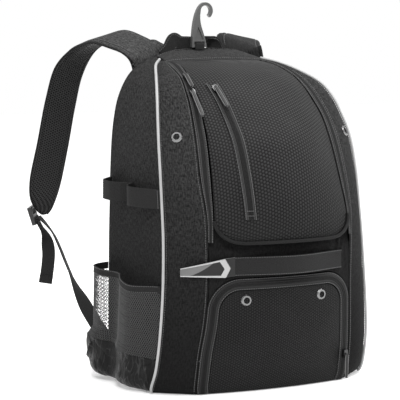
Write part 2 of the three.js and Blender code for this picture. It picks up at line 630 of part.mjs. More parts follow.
// The two lobes of a bat sleeve. Columns: share from the piping to the back seam, and bulge.
const lobeRows = [
  { share: 0.000, bulge: 0.00 }, { share: 0.060, bulge: 0.18 }, { share: 0.150, bulge: 0.52 },
  { share: 0.280, bulge: 0.84 }, { share: 0.400, bulge: 0.80 }, { share: 0.500, bulge: 0.60 },
  { share: 0.560, bulge: 0.44 }, { share: 0.610, bulge: 0.46 }, { share: 0.700, bulge: 0.80 },
  { share: 0.800, bulge: 1.02 }, { share: 0.890, bulge: 1.00 }, { share: 0.960, bulge: 0.66 },
  { share: 1.000, bulge: 0.00 },
];
const nearPiping = 0.02;
const nearBack = 0.985;
const lobeAt = (share) => lookUp(lobeRows, 'share', (share - nearPiping) / (nearBack - nearPiping), 'bulge');

function buildSleeves() {
  const stand = gap + 0.2;
  const rise = 14; // the hem stands this much higher at the back
  const sag = 5; // and the front lobe's hem this much lower in its middle
  const footRise = 2;
  const cupTop = (share) => cupHeight + cupRise * share;
  const shares = steps(16).map((s) => lerp(nearPiping, nearBack, s));
  const sleeve = (levels, thickness, extra = 0) => sheet(levels.map((level) => shares.map((share) => {
    const z = level(share);
    const filled = clamp((z - 1 - footRise * share) / 22, 0, 1);
    const towardsTop = lerp(0.5, 1, clamp(z / cupTop(share), 0, 1));
    const flare = cupFlare * share ** 2 * towardsTop * clamp((cupTop(share) + 12 - z) / 12, 0, 1);
    const full = pocketBulge * lobeAt(share) + flare * Math.min(1, 4 * lobeAt(share));
    const at = sideAt(share, z);
    at.x += stand + thickness + full * (filled * (2 - filled)) ** 0.35 + extra;
    return at;
  })), thickness);
  const foot = (share) => 3 + footRise * share;
  const hemFoot = (share) => {
    const inFront = Math.sin(Math.PI * Math.min(1, share / 0.56)) ** 2;
    return sleeveHemHeight - hemBand + rise * share - sag * inFront;
  };
  const mixed = (a, b, t) => (share) => lerp(a(share), b(share), t);
  const cup = [0, 0.08, 0.22, 0.5, 1].map((t) => mixed(foot, cupTop, t));
  const netFoot = (share) => cupTop(share) + 2 * gap;
  const netTop = (share) => hemFoot(share) - gap;
  const hemTop = (share) => hemFoot(share) + hemBand;
  addPair('pocket_cup', sleeve(cup, pocketCloth), webbing);
  addPair('mesh_pocket', sleeve([0, 0.33, 0.66, 1].map((t) => mixed(netFoot, netTop, t)), pocketCloth), meshCloth);
  addPair('pocket_hem', sleeve([hemFoot, hemTop], 2, 0.3), webbing);

  // The elastic strap that holds the bats is sewn down at its ends and between them.
  const strapRows = [
    { share: 0.02, bulge: 0.00 }, { share: 0.08, bulge: 0.22 }, { share: 0.18, bulge: 0.58 },
    { share: 0.30, bulge: 0.74 }, { share: 0.42, bulge: 0.42 }, { share: 0.49, bulge: 0.00 },
    { share: 0.52, bulge: 0.00 }, { share: 0.58, bulge: 0.44 }, { share: 0.67, bulge: 0.78 },
    { share: 0.77, bulge: 0.80 }, { share: 0.86, bulge: 0.46 }, { share: 0.94, bulge: 0.00 },
  ];
  const elastic = [0, 0.5, 1].map((t) => strapRows.map(({ share, bulge }) => {
    const z = elasticHeight + elasticWidth * t + 6 * share;
    const at = sideAt(share, z);
    at.x += stand + 1.6 + pocketBulge * bulge;
    return at;
  }));
  addPair('elastic_strap', sheet(elastic, 1.6), webbing);
}

function buildHandleAndHook() {
  // The haul handle's left leg comes up slanting from the back panel and turns over into the grip,
  // whose right end leans over before its leg goes down. Columns: across, lift above the body,
  // behind the back seam, and the direction of the webbing's width there.
  const arch = [
    { across: -66, lift: -12, behind: 0.3, turn: v(-0.7, 0, 0.7) },
    { across: -56, lift: -3, behind: 0.3, turn: v(-0.7, 0, 0.7) },
    { across: -47.5, lift: 10.5, behind: 1, turn: v(-0.2, 0, 0.98) },
    { across: -38, lift: 6, behind: 2, turn: v(0.08, 0, 1) },
    { across: -24, lift: 5, behind: 3, turn: v(0, 0, 1) },
    { across: -8, lift: 5, behind: 3, turn: v(0, -0.15, 0.99) },
    { across: 6, lift: 11.5, behind: 5, turn: v(0.05, -0.88, 0.42) },
    { across: 17, lift: 9, behind: 5, turn: v(0.5, -0.7, 0.4) },
    { across: 24, lift: -4, behind: 2.6, turn: v(0.9, -0.15, 0.4) },
    { across: 25, lift: -19, behind: 0.3, turn: v(1, 0, 0) },
  ];
  const behindBand = backPlane + backPaddingProud + gap + handleThickness / 2;
  const line = smoothLine(arch.map(({ across, lift, behind }) => v(across, behindBand + behind, bodyHeight + lift)));
  const turning = smoothLine(arch.map(({ turn }) => turn));
  add('haul_handle', loft(steps(24).map((t) => (
    strapRing(line.getPoint(t), line.getTangent(t), turning.getPoint(t), handleWidth, handleThickness)
  ))), webbing);

  // The hook's outline in its own plane, from the middle of its foot
  const centre = { x: 10, z: hookHeight - hookArcRadius };
  const inner = hookArcRadius - hookWire;
  const half = hookBaseWidth / 2;
  const outline = new THREE.Shape();
  outline.moveTo(-half, 0);
  outline.lineTo(half, 0);
  outline.bezierCurveTo(half * 0.9, hookHeight * 0.3, centre.x - hookArcRadius, hookHeight * 0.48, centre.x - inner, centre.z);
  outline.absarc(centre.x, centre.z, inner, Math.PI, -0.9, true);
  outline.absarc(centre.x, centre.z, hookArcRadius, -0.9, 0.6 * Math.PI, false);
  outline.bezierCurveTo(-half * 0.55, hookHeight * 0.9, -half, hookHeight * 0.5, -half, 0);
  const slot = new THREE.Path([
    new THREE.Vector2(-half + 3.5, hookBar), new THREE.Vector2(-half + 3.5, hookBar + hookSlotHeight),
    new THREE.Vector2(half - 3.5, hookBar + hookSlotHeight), new THREE.Vector2(half - 3.5, hookBar),
  ]);
  outline.holes.push(slot);
  const plate = new THREE.ExtrudeGeometry(outline, { depth: hookThickness, bevelEnabled: false, curveSegments: 10 });
  const web = new THREE.Shape([
    new THREE.Vector2(-half * 0.62, hookBar + hookSlotHeight + 3), new THREE.Vector2(half * 0.6, hookBar + hookSlotHeight + 3),
    new THREE.Vector2(-2, hookHeight * 0.46),
  ]);
  const recess = 1.8;
  const sunk = (z) => new THREE.ExtrudeGeometry(web, { depth: recess + 1, bevelEnabled: false }).translate(0, 0, z);
  const shaped = cut(plate, sunk(-1), sunk(hookThickness - recess));
  const hookFoot = bodyHeight + 1;
  const hookAcross = -12;
  const hookY = backPlane - hookThickness / 2;
  shaped.rotateX(Math.PI / 2).translate(hookAcross, hookY + hookThickness / 2, hookFoot);
  add('hook', shaped, plastic);

  // The loop of webbing round the hook's bar
  const loopThickness = 1.5;
  const reach = hookThickness / 2 + gap + loopThickness / 2;
  const top = hookFoot + hookBar + gap + loopThickness / 2 + 0.2;
  const legs = hookBar - 1;
  const turnUp = top - hookFoot;
  const loopPath = [
    v(0, -reach, -3.4), v(0, -reach, legs), v(0, -reach * 0.9, turnUp - 0.2), v(0, 0, turnUp + 0.2),
    v(0, reach * 0.9, turnUp - 0.2), v(0, reach, legs), v(0, reach, -1.6),
  ].map((p) => p.add(v(hookAcross, hookY, hookFoot)));
  add('hook_loop', strap(smoothLine(loopPath), () => v(1, 0, 0), hookBaseWidth - 9, loopThickness, 12), webbing);
}

// The two edges of each shoulder strap, from its seam on the back panel to its end. The straps hang
// differently near the top. Columns for each edge: out, a share of the half width; back, a share of
// the reach; up, a share of the height.
const strapTops = {
  left: [
    // inner edge                            outer edge
    [{ out: 0.250, back: 0.0485, up: 0.886 }, { out: 0.655, back: 0.0485, up: 0.886 }],
    [{ out: 0.270, back: 0.072, up: 0.965 }, { out: 0.667, back: 0.053, up: 0.943 }],
    [{ out: 0.335, back: 0.090, up: 0.997 }, { out: 0.696, back: 0.060, up: 0.968 }],
    [{ out: 0.395, back: 0.140, up: 1.014 }, { out: 0.743, back: 0.093, up: 0.987 }],
    [{ out: 0.450, back: 0.240, up: 1.033 }, { out: 0.801, back: 0.229, up: 1.004 }],
    [{ out: 0.508, back: 0.430, up: 1.050 }, { out: 0.848, back: 0.415, up: 1.015 }],
  ],
  right: [
    [{ out: 0.240, back: 0.0485, up: 0.886 }, { out: 0.625, back: 0.0485, up: 0.886 }],
    [{ out: 0.240, back: 0.072, up: 0.970 }, { out: 0.627, back: 0.053, up: 0.943 }],
    [{ out: 0.195, back: 0.102, up: 1.014 }, { out: 0.618, back: 0.060, up: 0.965 }],
    [{ out: 0.240, back: 0.180, up: 1.034 }, { out: 0.630, back: 0.093, up: 0.980 }],
    [{ out: 0.370, back: 0.327, up: 1.038 }, { out: 0.705, back: 0.229, up: 0.998 }],
    [{ out: 0.500, back: 0.488, up: 1.034 }, { out: 0.820, back: 0.415, up: 1.010 }],
  ],
};
const strapRest = [
  [{ out: 0.567, back: 0.634, up: 1.019 }, { out: 0.871, back: 0.585, up: 1.004 }],
  [{ out: 0.632, back: 0.766, up: 0.981 }, { out: 0.895, back: 0.741, up: 0.983 }],
  [{ out: 0.672, back: 0.907, up: 0.906 }, { out: 0.945, back: 0.893, up: 0.930 }],
  [{ out: 0.717, back: 0.956, up: 0.808 }, { out: 0.995, back: 0.966, up: 0.830 }],
  [{ out: 0.779, back: 0.976, up: 0.677 }, { out: 1.065, back: 0.995, up: 0.690 }],
  [{ out: 0.868, back: 0.966, up: 0.548 }, { out: 1.148, back: 0.988, up: 0.560 }],
  [{ out: 0.918, back: 0.952, up: 0.505 }, { out: 1.150, back: 0.970, up: 0.505 }],
  [{ out: 0.968, back: 0.947, up: 0.470 }, { out: 1.100, back: 0.955, up: 0.470 }],
  [{ out: 1.010, back: 0.942, up: 0.455 }, { out: 1.050, back: 0.944, up: 0.455 }],
];
// The lower webbing from the buckle to its anchor at the back seam. Same columns.
const webbingRoute = [
  { out: 1.090, back: 0.944, up: 0.450 }, { out: 1.053, back: 0.921, up: 0.434 }, { out: 0.990, back: 0.868, up: 0.397 }, { out: 0.954, back: 0.805, up: 0.350 },
  { out: 0.944, back: 0.732, up: 0.312 }, { out: 0.929, back: 0.634, up: 0.263 }, { out: 0.934, back: 0.488, up: 0.218 },
  { out: 0.935, back: 0.341, up: 0.173 }, { out: 0.920, back: 0.195, up: 0.130 }, { out: 0.893, back: 0.088, up: 0.098 },
  { out: 0.872, back: 0.048, up: 0.083 }, { out: 0.862, back: 0.042, up: 0.064 },
];
const strapPlace = ({ out, back, up }) => v(out * bodyHalfWidth, backPlane + back * strapReach, up * bodyHeight);

function buildStraps() {
  const edges = (side) => [0, 1].map((edge) => (
    smoothLine([...strapTops[side], ...strapRest].map((row) => strapPlace(row[edge])))
  ));
  add('shoulder_pad_right', strapBetween(...edges('right'), padThickness, 28), cloth);
  add('shoulder_pad_left', mirrored(strapBetween(...edges('left'), padThickness, 28)), cloth);

  // The buckle: a flat ladder of two slots that hangs from the end of the pad
  const half = buckleWidth / 2;
  const bar = 4;
  const slotHeight = (buckleHeight - 3 * bar) / 2;
  const rectangle = (w, from, to) => [[-w, from], [w, from], [w, to], [-w, to]].map(([x, y]) => new THREE.Vector2(x, y));
  const ladder = new THREE.Shape(rectangle(half, 0, buckleHeight));
  ladder.holes.push(...[bar, 2 * bar + slotHeight].map(
    (from) => new THREE.Path(rectangle(half - bar, from, from + slotHeight).reverse()),
  ));
  const frame = new THREE.ExtrudeGeometry(ladder, { depth: buckleThickness, bevelEnabled: false });
  frame.translate(0, 0, -buckleThickness / 2);
  const facing = v(0.8, 0.6, -0.3).normalize(); // the buckle is turned edge-on to someone in front of the bag
  const upright = v(0.3, 0.13, 0.95).normalize();
  const buckleMiddle = strapPlace({ out: 1.132, back: 0.965, up: 0.454 });
  const buckleFoot = buckleMiddle.clone().addScaledVector(upright, -buckleHeight / 2);
  addPair('strap_buckle', onSurface(frame, buckleFoot, upright, facing), plastic);

  const flatways = new THREE.Vector3().crossVectors(upright, facing);
  const route = webbingRoute.map(strapPlace);
  const lower = smoothLine(route);
  const edgeOn = v(-0.617, 0.617, -0.49);
  const faceOn = v(-0.68, -0.305, 0.47);
  const flat = v(-1, 0, 0);
  const twist = (t) => flatways.clone().lerp(edgeOn, clamp(8 * t, 0, 1))
    .lerp(faceOn, clamp((t - 0.4) * 3, 0, 1)).lerp(flat, clamp((t - 0.82) * 6, 0, 1));
  addPair('lower_webbing', strap(lower, twist, webbingWidth, webbingThickness, 30), webbing);

  // The webbing's free tail. Columns: out and back from its top, and down as a share of its length.
  const tailRows = [
    { out: 0, back: 0, down: 0 }, { out: -3.2, back: -1.4, down: 0.1 }, { out: -13, back: -4.5, down: 0.3 },
    { out: -17, back: -6, down: 0.52 }, { out: -15, back: -7, down: 0.75 }, { out: -10.5, back: -7.5, down: 1 },
  ];
  const facingOut = buckleThickness / 2 + 2 * gap + webbingThickness / 2;
  const tailTop = buckleMiddle.clone().addScaledVector(facing, -facingOut).addScaledVector(upright, -3);
  const tail = smoothLine(tailRows.map((row) => tailTop.clone().add(v(row.out, row.back, -tailLength * row.down))));
  const hanging = (t) => flatways.clone().lerp(v(-0.883, -0.469, 0), clamp(3 * t - 0.6, 0, 1));
  addPair('strap_tail', strap(tail, hanging, webbingWidth, webbingThickness, 10), webbing);

  const anchor = route.at(-1);
  const patch = new THREE.BoxGeometry(webbingWidth + 2 * anchorMargin, 3, anchorHeight);
  patch.translate(anchor.x - 4, backPlane + 0.75 * backPaddingProud + 1.5 + gap, anchor.z - 8);
  addPair('strap_anchor', patch, cloth);
}

function buildGloveStrap() {
  const strapEnd = 96;
  const tabFrom = -78;
  const across = steps(16).map((s) => lerp(tabFrom, strapEnd, s));
  const slack = 12;
  const rows = [-0.5, 0, 0.5].map((h) => across.map((x, i) => {
    const share = i / (across.length - 1);
    const at = frontAt(x, gloveStrapHeight + h * gloveStrapWidth);
    at.y -= webbingThickness + 1.5 * gap + slack * Math.sin(Math.PI * share) ** 2;
    return at;
  }));
  add('glove_strap', sheet(rows, webbingThickness), webbing);

  const tip = -152;
  const tabRows = [-1, 0, 1].map((h) => steps(7).map((s) => {
    const x = lerp(tip, tabFrom - gap, s);
    const narrow = lerp(0.5, 1, clamp(s * 1.4, 0, 1));
    const bend = 22 * (1 - s) ** 1.6;
    const root = frontAt(tabFrom, gloveStrapHeight);
    return v(x, root.y - 4.4 + bend, gloveStrapHeight - 6 * (1 - s) + (h * narrow * gloveStrapWidth) / 2);
  }));
  add('glove_tab', sheet(tabRows, 2.6), reflective);
}

buildBackTopBase();
buildSides();
buildFront();
buildDome();
buildSleeves();
buildHandleAndHook();
buildStraps();
buildGloveStrap();

export default backpack;
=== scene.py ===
"""A baseball bat backpack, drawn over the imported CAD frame.

Shapes are worked out in millimetres, in the frame's own axes: +X to the right of someone facing
the front, +Y to the back, +Z up. Left and right are the viewer's. The right half is built and
mirrored wherever the two halves match.
"""
import bpy
import math
import numpy as np
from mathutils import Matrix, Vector


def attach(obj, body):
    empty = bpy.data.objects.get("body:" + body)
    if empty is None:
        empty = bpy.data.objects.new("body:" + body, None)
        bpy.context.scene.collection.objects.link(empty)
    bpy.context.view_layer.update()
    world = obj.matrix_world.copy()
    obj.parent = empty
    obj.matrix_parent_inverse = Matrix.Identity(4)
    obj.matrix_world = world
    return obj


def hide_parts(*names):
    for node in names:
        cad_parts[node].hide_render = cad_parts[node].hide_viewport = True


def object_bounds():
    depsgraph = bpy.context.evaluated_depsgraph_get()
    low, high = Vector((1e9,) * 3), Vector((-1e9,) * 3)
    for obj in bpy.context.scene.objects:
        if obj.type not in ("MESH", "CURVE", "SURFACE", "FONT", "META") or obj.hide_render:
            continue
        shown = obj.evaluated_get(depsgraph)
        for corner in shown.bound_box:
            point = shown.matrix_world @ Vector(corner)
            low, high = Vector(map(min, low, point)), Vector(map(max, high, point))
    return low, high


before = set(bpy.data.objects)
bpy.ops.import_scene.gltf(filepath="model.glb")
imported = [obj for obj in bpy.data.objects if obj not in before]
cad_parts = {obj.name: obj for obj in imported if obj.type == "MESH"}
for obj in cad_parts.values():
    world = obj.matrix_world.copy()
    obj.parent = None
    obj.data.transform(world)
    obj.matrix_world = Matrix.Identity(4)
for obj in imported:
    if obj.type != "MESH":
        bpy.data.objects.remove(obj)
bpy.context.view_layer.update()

# Driving dimensions, the same as the CAD's
BODY_HEIGHT = 474
HALF_WIDTH = 171
BACK_PLANE = 105
SIDE_DEPTH = 184
WALL = 2.0
SEAM_GAP = 0.9
BACK_PROUD = 5
ARCH_HEIGHT = 164
ARCH_CORNER = 46
LOWER_ZIP_WIDTH = 16
RECESS_TOP = 240
DOME_CORNER_WIDE = 40
DOME_CORNER_TALL = 30
POCKET_ZIP_WIDTH = 14
STRAP_REACH = 205
PAD_THICKNESS = 9
WEBBING_WIDTH = 20
WEBBING_THICKNESS = 1.8
POCKET_BULGE = 28.6
CUP_HEIGHT = 49
CUP_RISE = 18
CUP_FLARE = 13
HEM_HEIGHT = 152
HEM_BAND = 10
ELASTIC_HEIGHT = 258
ELASTIC_WIDTH = 27
GLOVE_STRAP_WIDTH = 26
GLOVE_STRAP_HEIGHT = 181
HANDLE_WIDTH = 24
HANDLE_THICKNESS = 2.6
BUCKLE_THICKNESS = 6
TAIL_LENGTH = 104
HOOK_FOOT = (-12, 102, 475)
HOOK_BASE_DEPTH = 6
HOOK_BASE_HEIGHT = 5
HOOK_LOOP_WIDTH = 15
HOOK_LOOP_THICKNESS = 1.5
GLOVE_STRAP_FROM = -78
GLOVE_STRAP_TO = 96
GLOVE_TAB_TIP = -152
GLOVE_TAB_THICKNESS = 2.6
SLEEVE_FROM = 0.02
SLEEVE_TO = 0.985
CUP_WALL = 1.4
CLEARANCE = 0.3
GUSSET_BOW = 0.4
SIDE_BOW = 0.12
MAIN_ZIP_BOW = 0.64
BUCKLE_AT = (1.132, 0.965, 0.454)

# Cloth: the embossed cells, the net's strands and the stitches
DOME_CELL = 5.0
POCKET_CELL = 4.0
SPACER_CELL = 4.0
NET_PITCH = 3.5
NET_CORD = 1.0
NET_SLOPE = 0.62
STITCH_PITCH = 3.4
FINE_STITCH_PITCH = 2.6
STITCH_LENGTH = 2.3
STITCH_HALF = 0.42

# Stage, in metres and degrees: the lights' rows hold name, spot, aim, size and power
FLOOR = 6.0
CAMERA_AZIMUTH = -28
CAMERA_ELEVATION = 6
CAMERA_DISTANCE = 2.85
CAMERA_TARGET = (0, 0.120, 0.246)
LIGHTS = [
    ("key", (-1.3, -2.0, 2.4), (0, 0, 0.25), 0.9, 62),
    ("top", (0.3, -0.3, 2.6), (0, 0, 0.3), 1.2, 60),
    ("rim", (1.9, -0.6, 1.2), (0, 0, 0.25), 1.0, 26),
]

# One row per level from the base to the top: out, a share of the half width; fore, a share of
# the side's depth in front of the back seam; up, a share of the height.
STATIONS = [
    # back seam       piping                 seam of the main zip
    ((0.915, 0.004), (0.985, 0.860, 0.004), (0.700, 1.085, 0.004)),
    ((0.930, 0.021), (0.998, 0.890, 0.021), (0.712, 1.103, 0.021)),
    ((0.935, 0.063), (0.989, 0.942, 0.063), (0.713, 1.125, 0.063)),
    ((0.935, 0.127), (0.980, 0.980, 0.127), (0.706, 1.152, 0.127)),
    ((0.935, 0.211), (0.965, 0.998, 0.211), (0.682, 1.190, 0.211)),
    ((0.930, 0.316), (0.945, 0.998, 0.316), (0.666, 1.212, 0.316)),
    ((0.924, 0.454), (0.927, 0.975, 0.454), (0.670, 1.214, 0.454)),
    ((0.918, 0.527), (0.921, 0.950, 0.527), (0.674, 1.201, 0.527)),
    ((0.910, 0.633), (0.914, 0.907, 0.633), (0.682, 1.111, 0.633)),
    ((0.893, 0.738), (0.895, 0.839, 0.738), (0.666, 1.015, 0.738)),
    ((0.868, 0.805), (0.862, 0.764, 0.802), (0.646, 0.923, 0.802)),
    ((0.833, 0.855), (0.833, 0.702, 0.844), (0.625, 0.839, 0.844)),
    ((0.770, 0.903), (0.785, 0.603, 0.886), (0.598, 0.723, 0.886)),
    ((0.700, 0.935), (0.707, 0.450, 0.918), (0.566, 0.590, 0.918)),
    ((0.600, 0.960), (0.589, 0.232, 0.949), (0.527, 0.342, 0.949)),
    ((0.468, 0.975), (0.485, 0.103, 0.963), (0.474, 0.163, 0.961)),
]
# The dome from its lower edge to the top band: out, fore and up of its side edge, then fore and
# up of the line down its middle.
DOME_ROWS = [
    (0.636, 1.250, 0.454, 1.376, 0.454), (0.624, 1.223, 0.527, 1.397, 0.527),
    (0.600, 1.141, 0.633, 1.354, 0.633), (0.576, 1.040, 0.738, 1.262, 0.738),
    (0.561, 0.945, 0.802, 1.145, 0.802), (0.539, 0.857, 0.844, 1.043, 0.846),
    (0.522, 0.738, 0.886, 0.921, 0.890), (0.500, 0.610, 0.918, 0.779, 0.924),
    (0.452, 0.400, 0.949, 0.522, 0.955), (0.440, 0.168, 0.960, 0.168, 0.964),
]
# The front below the dome: up, then fore at the zip's seam and down the middle.
FRONT_ROWS = [
    (0.000, 1.078, 1.146), (0.021, 1.098, 1.168), (0.063, 1.120, 1.200), (0.127, 1.147, 1.240),
    (0.211, 1.185, 1.277), (0.316, 1.207, 1.299), (0.422, 1.207, 1.288), (0.450, 1.185, 1.260),
    (0.520, 1.180, 1.255),
]
# A bat sleeve: share from the piping to the back seam, and how full it is there.
LOBE_ROWS = [
    (0.000, 0.00), (0.060, 0.18), (0.150, 0.52), (0.280, 0.84), (0.400, 0.80), (0.500, 0.60),
    (0.560, 0.44), (0.610, 0.46), (0.700, 0.80), (0.800, 1.02), (0.890, 1.00), (0.960, 0.66),
    (1.000, 0.00),
]
ELASTIC_ROWS = [
    (0.02, 0.00), (0.08, 0.22), (0.18, 0.58), (0.30, 0.74), (0.42, 0.42), (0.49, 0.00),
    (0.52, 0.00), (0.58, 0.44), (0.67, 0.78), (0.77, 0.80), (0.86, 0.46), (0.94, 0.00),
]
# The shoulder strap's two edges from its seam on the back panel: out, back (a share of the reach)
# and up of the inner edge, then of the outer edge. The two straps differ near the top.
STRAP_TOPS = {
    "left": [
        (0.250, 0.0485, 0.886, 0.655, 0.0485, 0.886), (0.270, 0.072, 0.965, 0.667, 0.053, 0.943),
        (0.335, 0.090, 0.997, 0.696, 0.060, 0.968), (0.395, 0.140, 1.014, 0.743, 0.093, 0.987),
        (0.450, 0.240, 1.033, 0.801, 0.229, 1.004), (0.508, 0.430, 1.050, 0.848, 0.415, 1.015),
    ],
    "right": [
        (0.240, 0.0485, 0.886, 0.625, 0.0485, 0.886), (0.240, 0.072, 0.970, 0.627, 0.053, 0.943),
        (0.195, 0.102, 1.014, 0.618, 0.060, 0.965), (0.240, 0.180, 1.034, 0.630, 0.093, 0.980),
        (0.370, 0.327, 1.038, 0.705, 0.229, 0.998), (0.500, 0.488, 1.034, 0.820, 0.415, 1.010),
    ],
}
STRAP_REST = [
    (0.567, 0.634, 1.019, 0.871, 0.585, 1.004), (0.632, 0.766, 0.981, 0.895, 0.741, 0.983),
    (0.672, 0.907, 0.906, 0.945, 0.893, 0.930), (0.717, 0.956, 0.808, 0.995, 0.966, 0.830),
    (0.779, 0.976, 0.677, 1.065, 0.995, 0.690), (0.868, 0.966, 0.548, 1.148, 0.988, 0.560),
    (0.918, 0.952, 0.505, 1.150, 0.970, 0.505), (0.968, 0.947, 0.470, 1.100, 0.955, 0.470),
    (1.010, 0.942, 0.455, 1.050, 0.944, 0.455),
]
WEBBING_ROUTE = [
    (1.090, 0.944, 0.450), (1.053, 0.921, 0.434), (0.990, 0.868, 0.397), (0.954, 0.805, 0.350),
    (0.944, 0.732, 0.312), (0.929, 0.634, 0.263), (0.934, 0.488, 0.218), (0.935, 0.341, 0.173),
    (0.920, 0.195, 0.130), (0.893, 0.088, 0.098), (0.872, 0.048, 0.083), (0.862, 0.042, 0.064),
]
# The webbing's free tail: out and back from its top, and down as a share of its length.
TAIL_ROWS = [
    (0, 0, 0), (-3.2, -1.4, 0.1), (-13, -4.5, 0.3), (-17, -6, 0.52), (-15, -7, 0.75), (-10.5, -7.5, 1),
]
# The haul handle: across, lift above the body, behind the back panel, and its width's direction.
HANDLE_ROWS = [
    (-66, -12, 0.3, (-0.7, 0, 0.7)), (-56, -3, 0.3, (-0.7, 0, 0.7)), (-47.5, 10.5, 1, (-0.2, 0, 0.98)),
    (-38, 6, 2, (0.08, 0, 1)), (-24, 5, 3, (0, 0, 1)), (-8, 5, 3, (0, -0.15, 0.99)),
    (6, 11.5, 5, (0.05, -0.88, 0.42)), (17, 9, 5, (0.5, -0.7, 0.4)), (24, -4, 2.6, (0.9, -0.15, 0.4)),
    (25, -19, 0.3, (1, 0, 0)),
]


# Curves and grids

def smooth_line(points):
    """A centripetal curve through points, called with shares from 0 to 1 of the point count."""
    points = np.asarray(points, float)
    padded = np.vstack([2 * points[0] - points[1], points, 2 * points[-1] - points[-2]])

    def at(t):
        place = np.clip(np.asarray(t, float), 0, 1) * (len(points) - 1)
        i = np.minimum(place.astype(int), len(points) - 2)
        w = (place - i)[..., None]
        p0, p1, p2, p3 = (padded[i + k] for k in range(4))
        reach = [np.maximum(np.linalg.norm(b - a, axis=-1, keepdims=True), 1e-6) ** 0.5
                 for a, b in ((p0, p1), (p1, p2), (p2, p3))]
        d0, d1, d2 = reach
        m1 = ((p1 - p0) / d0 - (p2 - p0) / (d0 + d1) + (p2 - p1) / d1) * d1
        m2 = ((p2 - p1) / d1 - (p3 - p1) / (d1 + d2) + (p3 - p2) / d2) * d1
        return p1 + m1 * w + (3 * (p2 - p1) - 2 * m1 - m2) * w ** 2 + (2 * (p1 - p2) + m1 + m2) * w ** 3
    return at


def place(out, fore, up):
    return (out * HALF_WIDTH, BACK_PLANE - fore * SIDE_DEPTH, up * BODY_HEIGHT)


def lookup(rows, column=1):
    """A smooth function of the rows' first value."""
    line = smooth_line([(row[0], row[column]) for row in rows])
    table = line(np.linspace(0, 1, 400))
    return lambda value: np.interp(value, table[:, 0], table[:, 1])


def row_of(low, high, count):
    return np.linspace(low, high, count)[None]


def column_of(low, high, count):
    return np.linspace(low, high, count)[:, None]


def unit(v):
    return v / np.maximum(np.linalg.norm(v, axis=-1, keepdims=True), 1e-9)


def lerp(a, b, t):
    return a + (b - a) * t


def smoothstep(low, high, value):
    t = np.clip((value - low) / (high - low), 0, 1)
    return t * t * (3 - 2 * t)


def normals(grid):
    """Outward normals of a grid whose rows run along and whose columns run across."""
    return unit(np.cross(np.gradient(grid, axis=1), np.gradient(grid, axis=0)))


back_seam = smooth_line([place(b[0], 0, b[1]) for b, _, _ in STATIONS])
piping_seam = smooth_line([place(*p) for _, p, _ in STATIONS])
zip_seam = smooth_line([place(*z) for _, _, z in STATIONS])
dome_edge = smooth_line([place(*row[:3]) for row in DOME_ROWS])
dome_middle = smooth_line([place(0, *row[3:]) for row in DOME_ROWS])
DOME_FIRST = 6 / (len(STATIONS) - 1)
SIDES = (("right", np.array((1, 1, 1))), ("left", np.array((-1, 1, 1))))

fine = np.linspace(0, 1, 2001)
fine_zip = zip_seam(fine)
front_edge_fore = lookup(FRONT_ROWS, 1)
front_middle_fore = lookup(FRONT_ROWS, 2)


def seam_half(z):
    """Half the width of the front between the two seams of the main zip, at a height."""
    return np.interp(z, fine_zip[:, 2], fine_zip[:, 0])


def front_at(x, z):
    """The front below the dome, at places across and up."""
    x, z = np.broadcast_arrays(np.asarray(x, float), np.asarray(z, float))
    share = 1 - np.minimum(1, np.abs(x) / seam_half(z)) ** 2
    up = z / BODY_HEIGHT
    fore = lerp(front_edge_fore(up), front_middle_fore(up), share)
    return np.stack([x, BACK_PLANE - fore * SIDE_DEPTH, z], axis=-1)


def dome_at(across, t):
    """The dome, at shares across from -1 to 1 and up from 0 to 1."""
    across, t = np.broadcast_arrays(np.asarray(across, float), np.asarray(t, float))
    edge, middle = dome_edge(t), dome_middle(t)
    share = 1 - np.abs(across) ** 2.2
    return np.stack([edge[..., 0] * across, lerp(edge[..., 1], middle[..., 1], share),
                     lerp(edge[..., 2], middle[..., 2], share)], axis=-1)


def corner_leaves(t):
    """The share of the dome's half width that its rounded lower corners leave."""
    over = 1 - np.clip((dome_edge(t)[..., 2] - dome_edge(0)[2]) / DOME_CORNER_TALL, 0, 1)
    return 1 - (DOME_CORNER_WIDE / dome_edge(0)[0]) * (1 - np.sqrt(1 - over ** 2))


def arch_top(x, inset):
    """The height of the lower compartment's arch at a place across."""
    half = seam_half(ARCH_HEIGHT - ARCH_CORNER) - SEAM_GAP - inset
    corner = ARCH_CORNER - inset
    past = np.maximum(0, np.abs(x) - (half - corner))
    return ARCH_HEIGHT - inset - corner + np.sqrt(np.maximum(0, corner ** 2 - past ** 2))


def arch_half(z, inset):
    """Half the width of the arch at a height."""
    over = np.maximum(0, z - (ARCH_HEIGHT - ARCH_CORNER)) / (ARCH_CORNER - inset)
    pulled = (ARCH_CORNER - inset) * (1 - np.sqrt(np.maximum(0, 1 - over ** 2)))
    return seam_half(z) - SEAM_GAP - inset - pulled


def side_at(share, z):
    """The outside of the side panel at a share from the piping to the back seam, and a height."""
    share, z = np.broadcast_arrays(np.asarray(share, float), np.asarray(z, float))
    piping, back = piping_seam(fine), back_seam(fine)
    heights = lerp(piping[:, 2][None], back[:, 2][None], share.reshape(-1, 1))
    t = np.array([np.interp(h, row, fine) for h, row in zip(z.ravel(), heights)]).reshape(share.shape)
    p, b = piping_seam(t), back_seam(t)
    at = lerp(p, b, share[..., None])
    at[..., 0] += SIDE_BOW * share * (1 - share) * np.linalg.norm(b - p, axis=-1)
    at[..., 2] = z
    return at


# Meshes

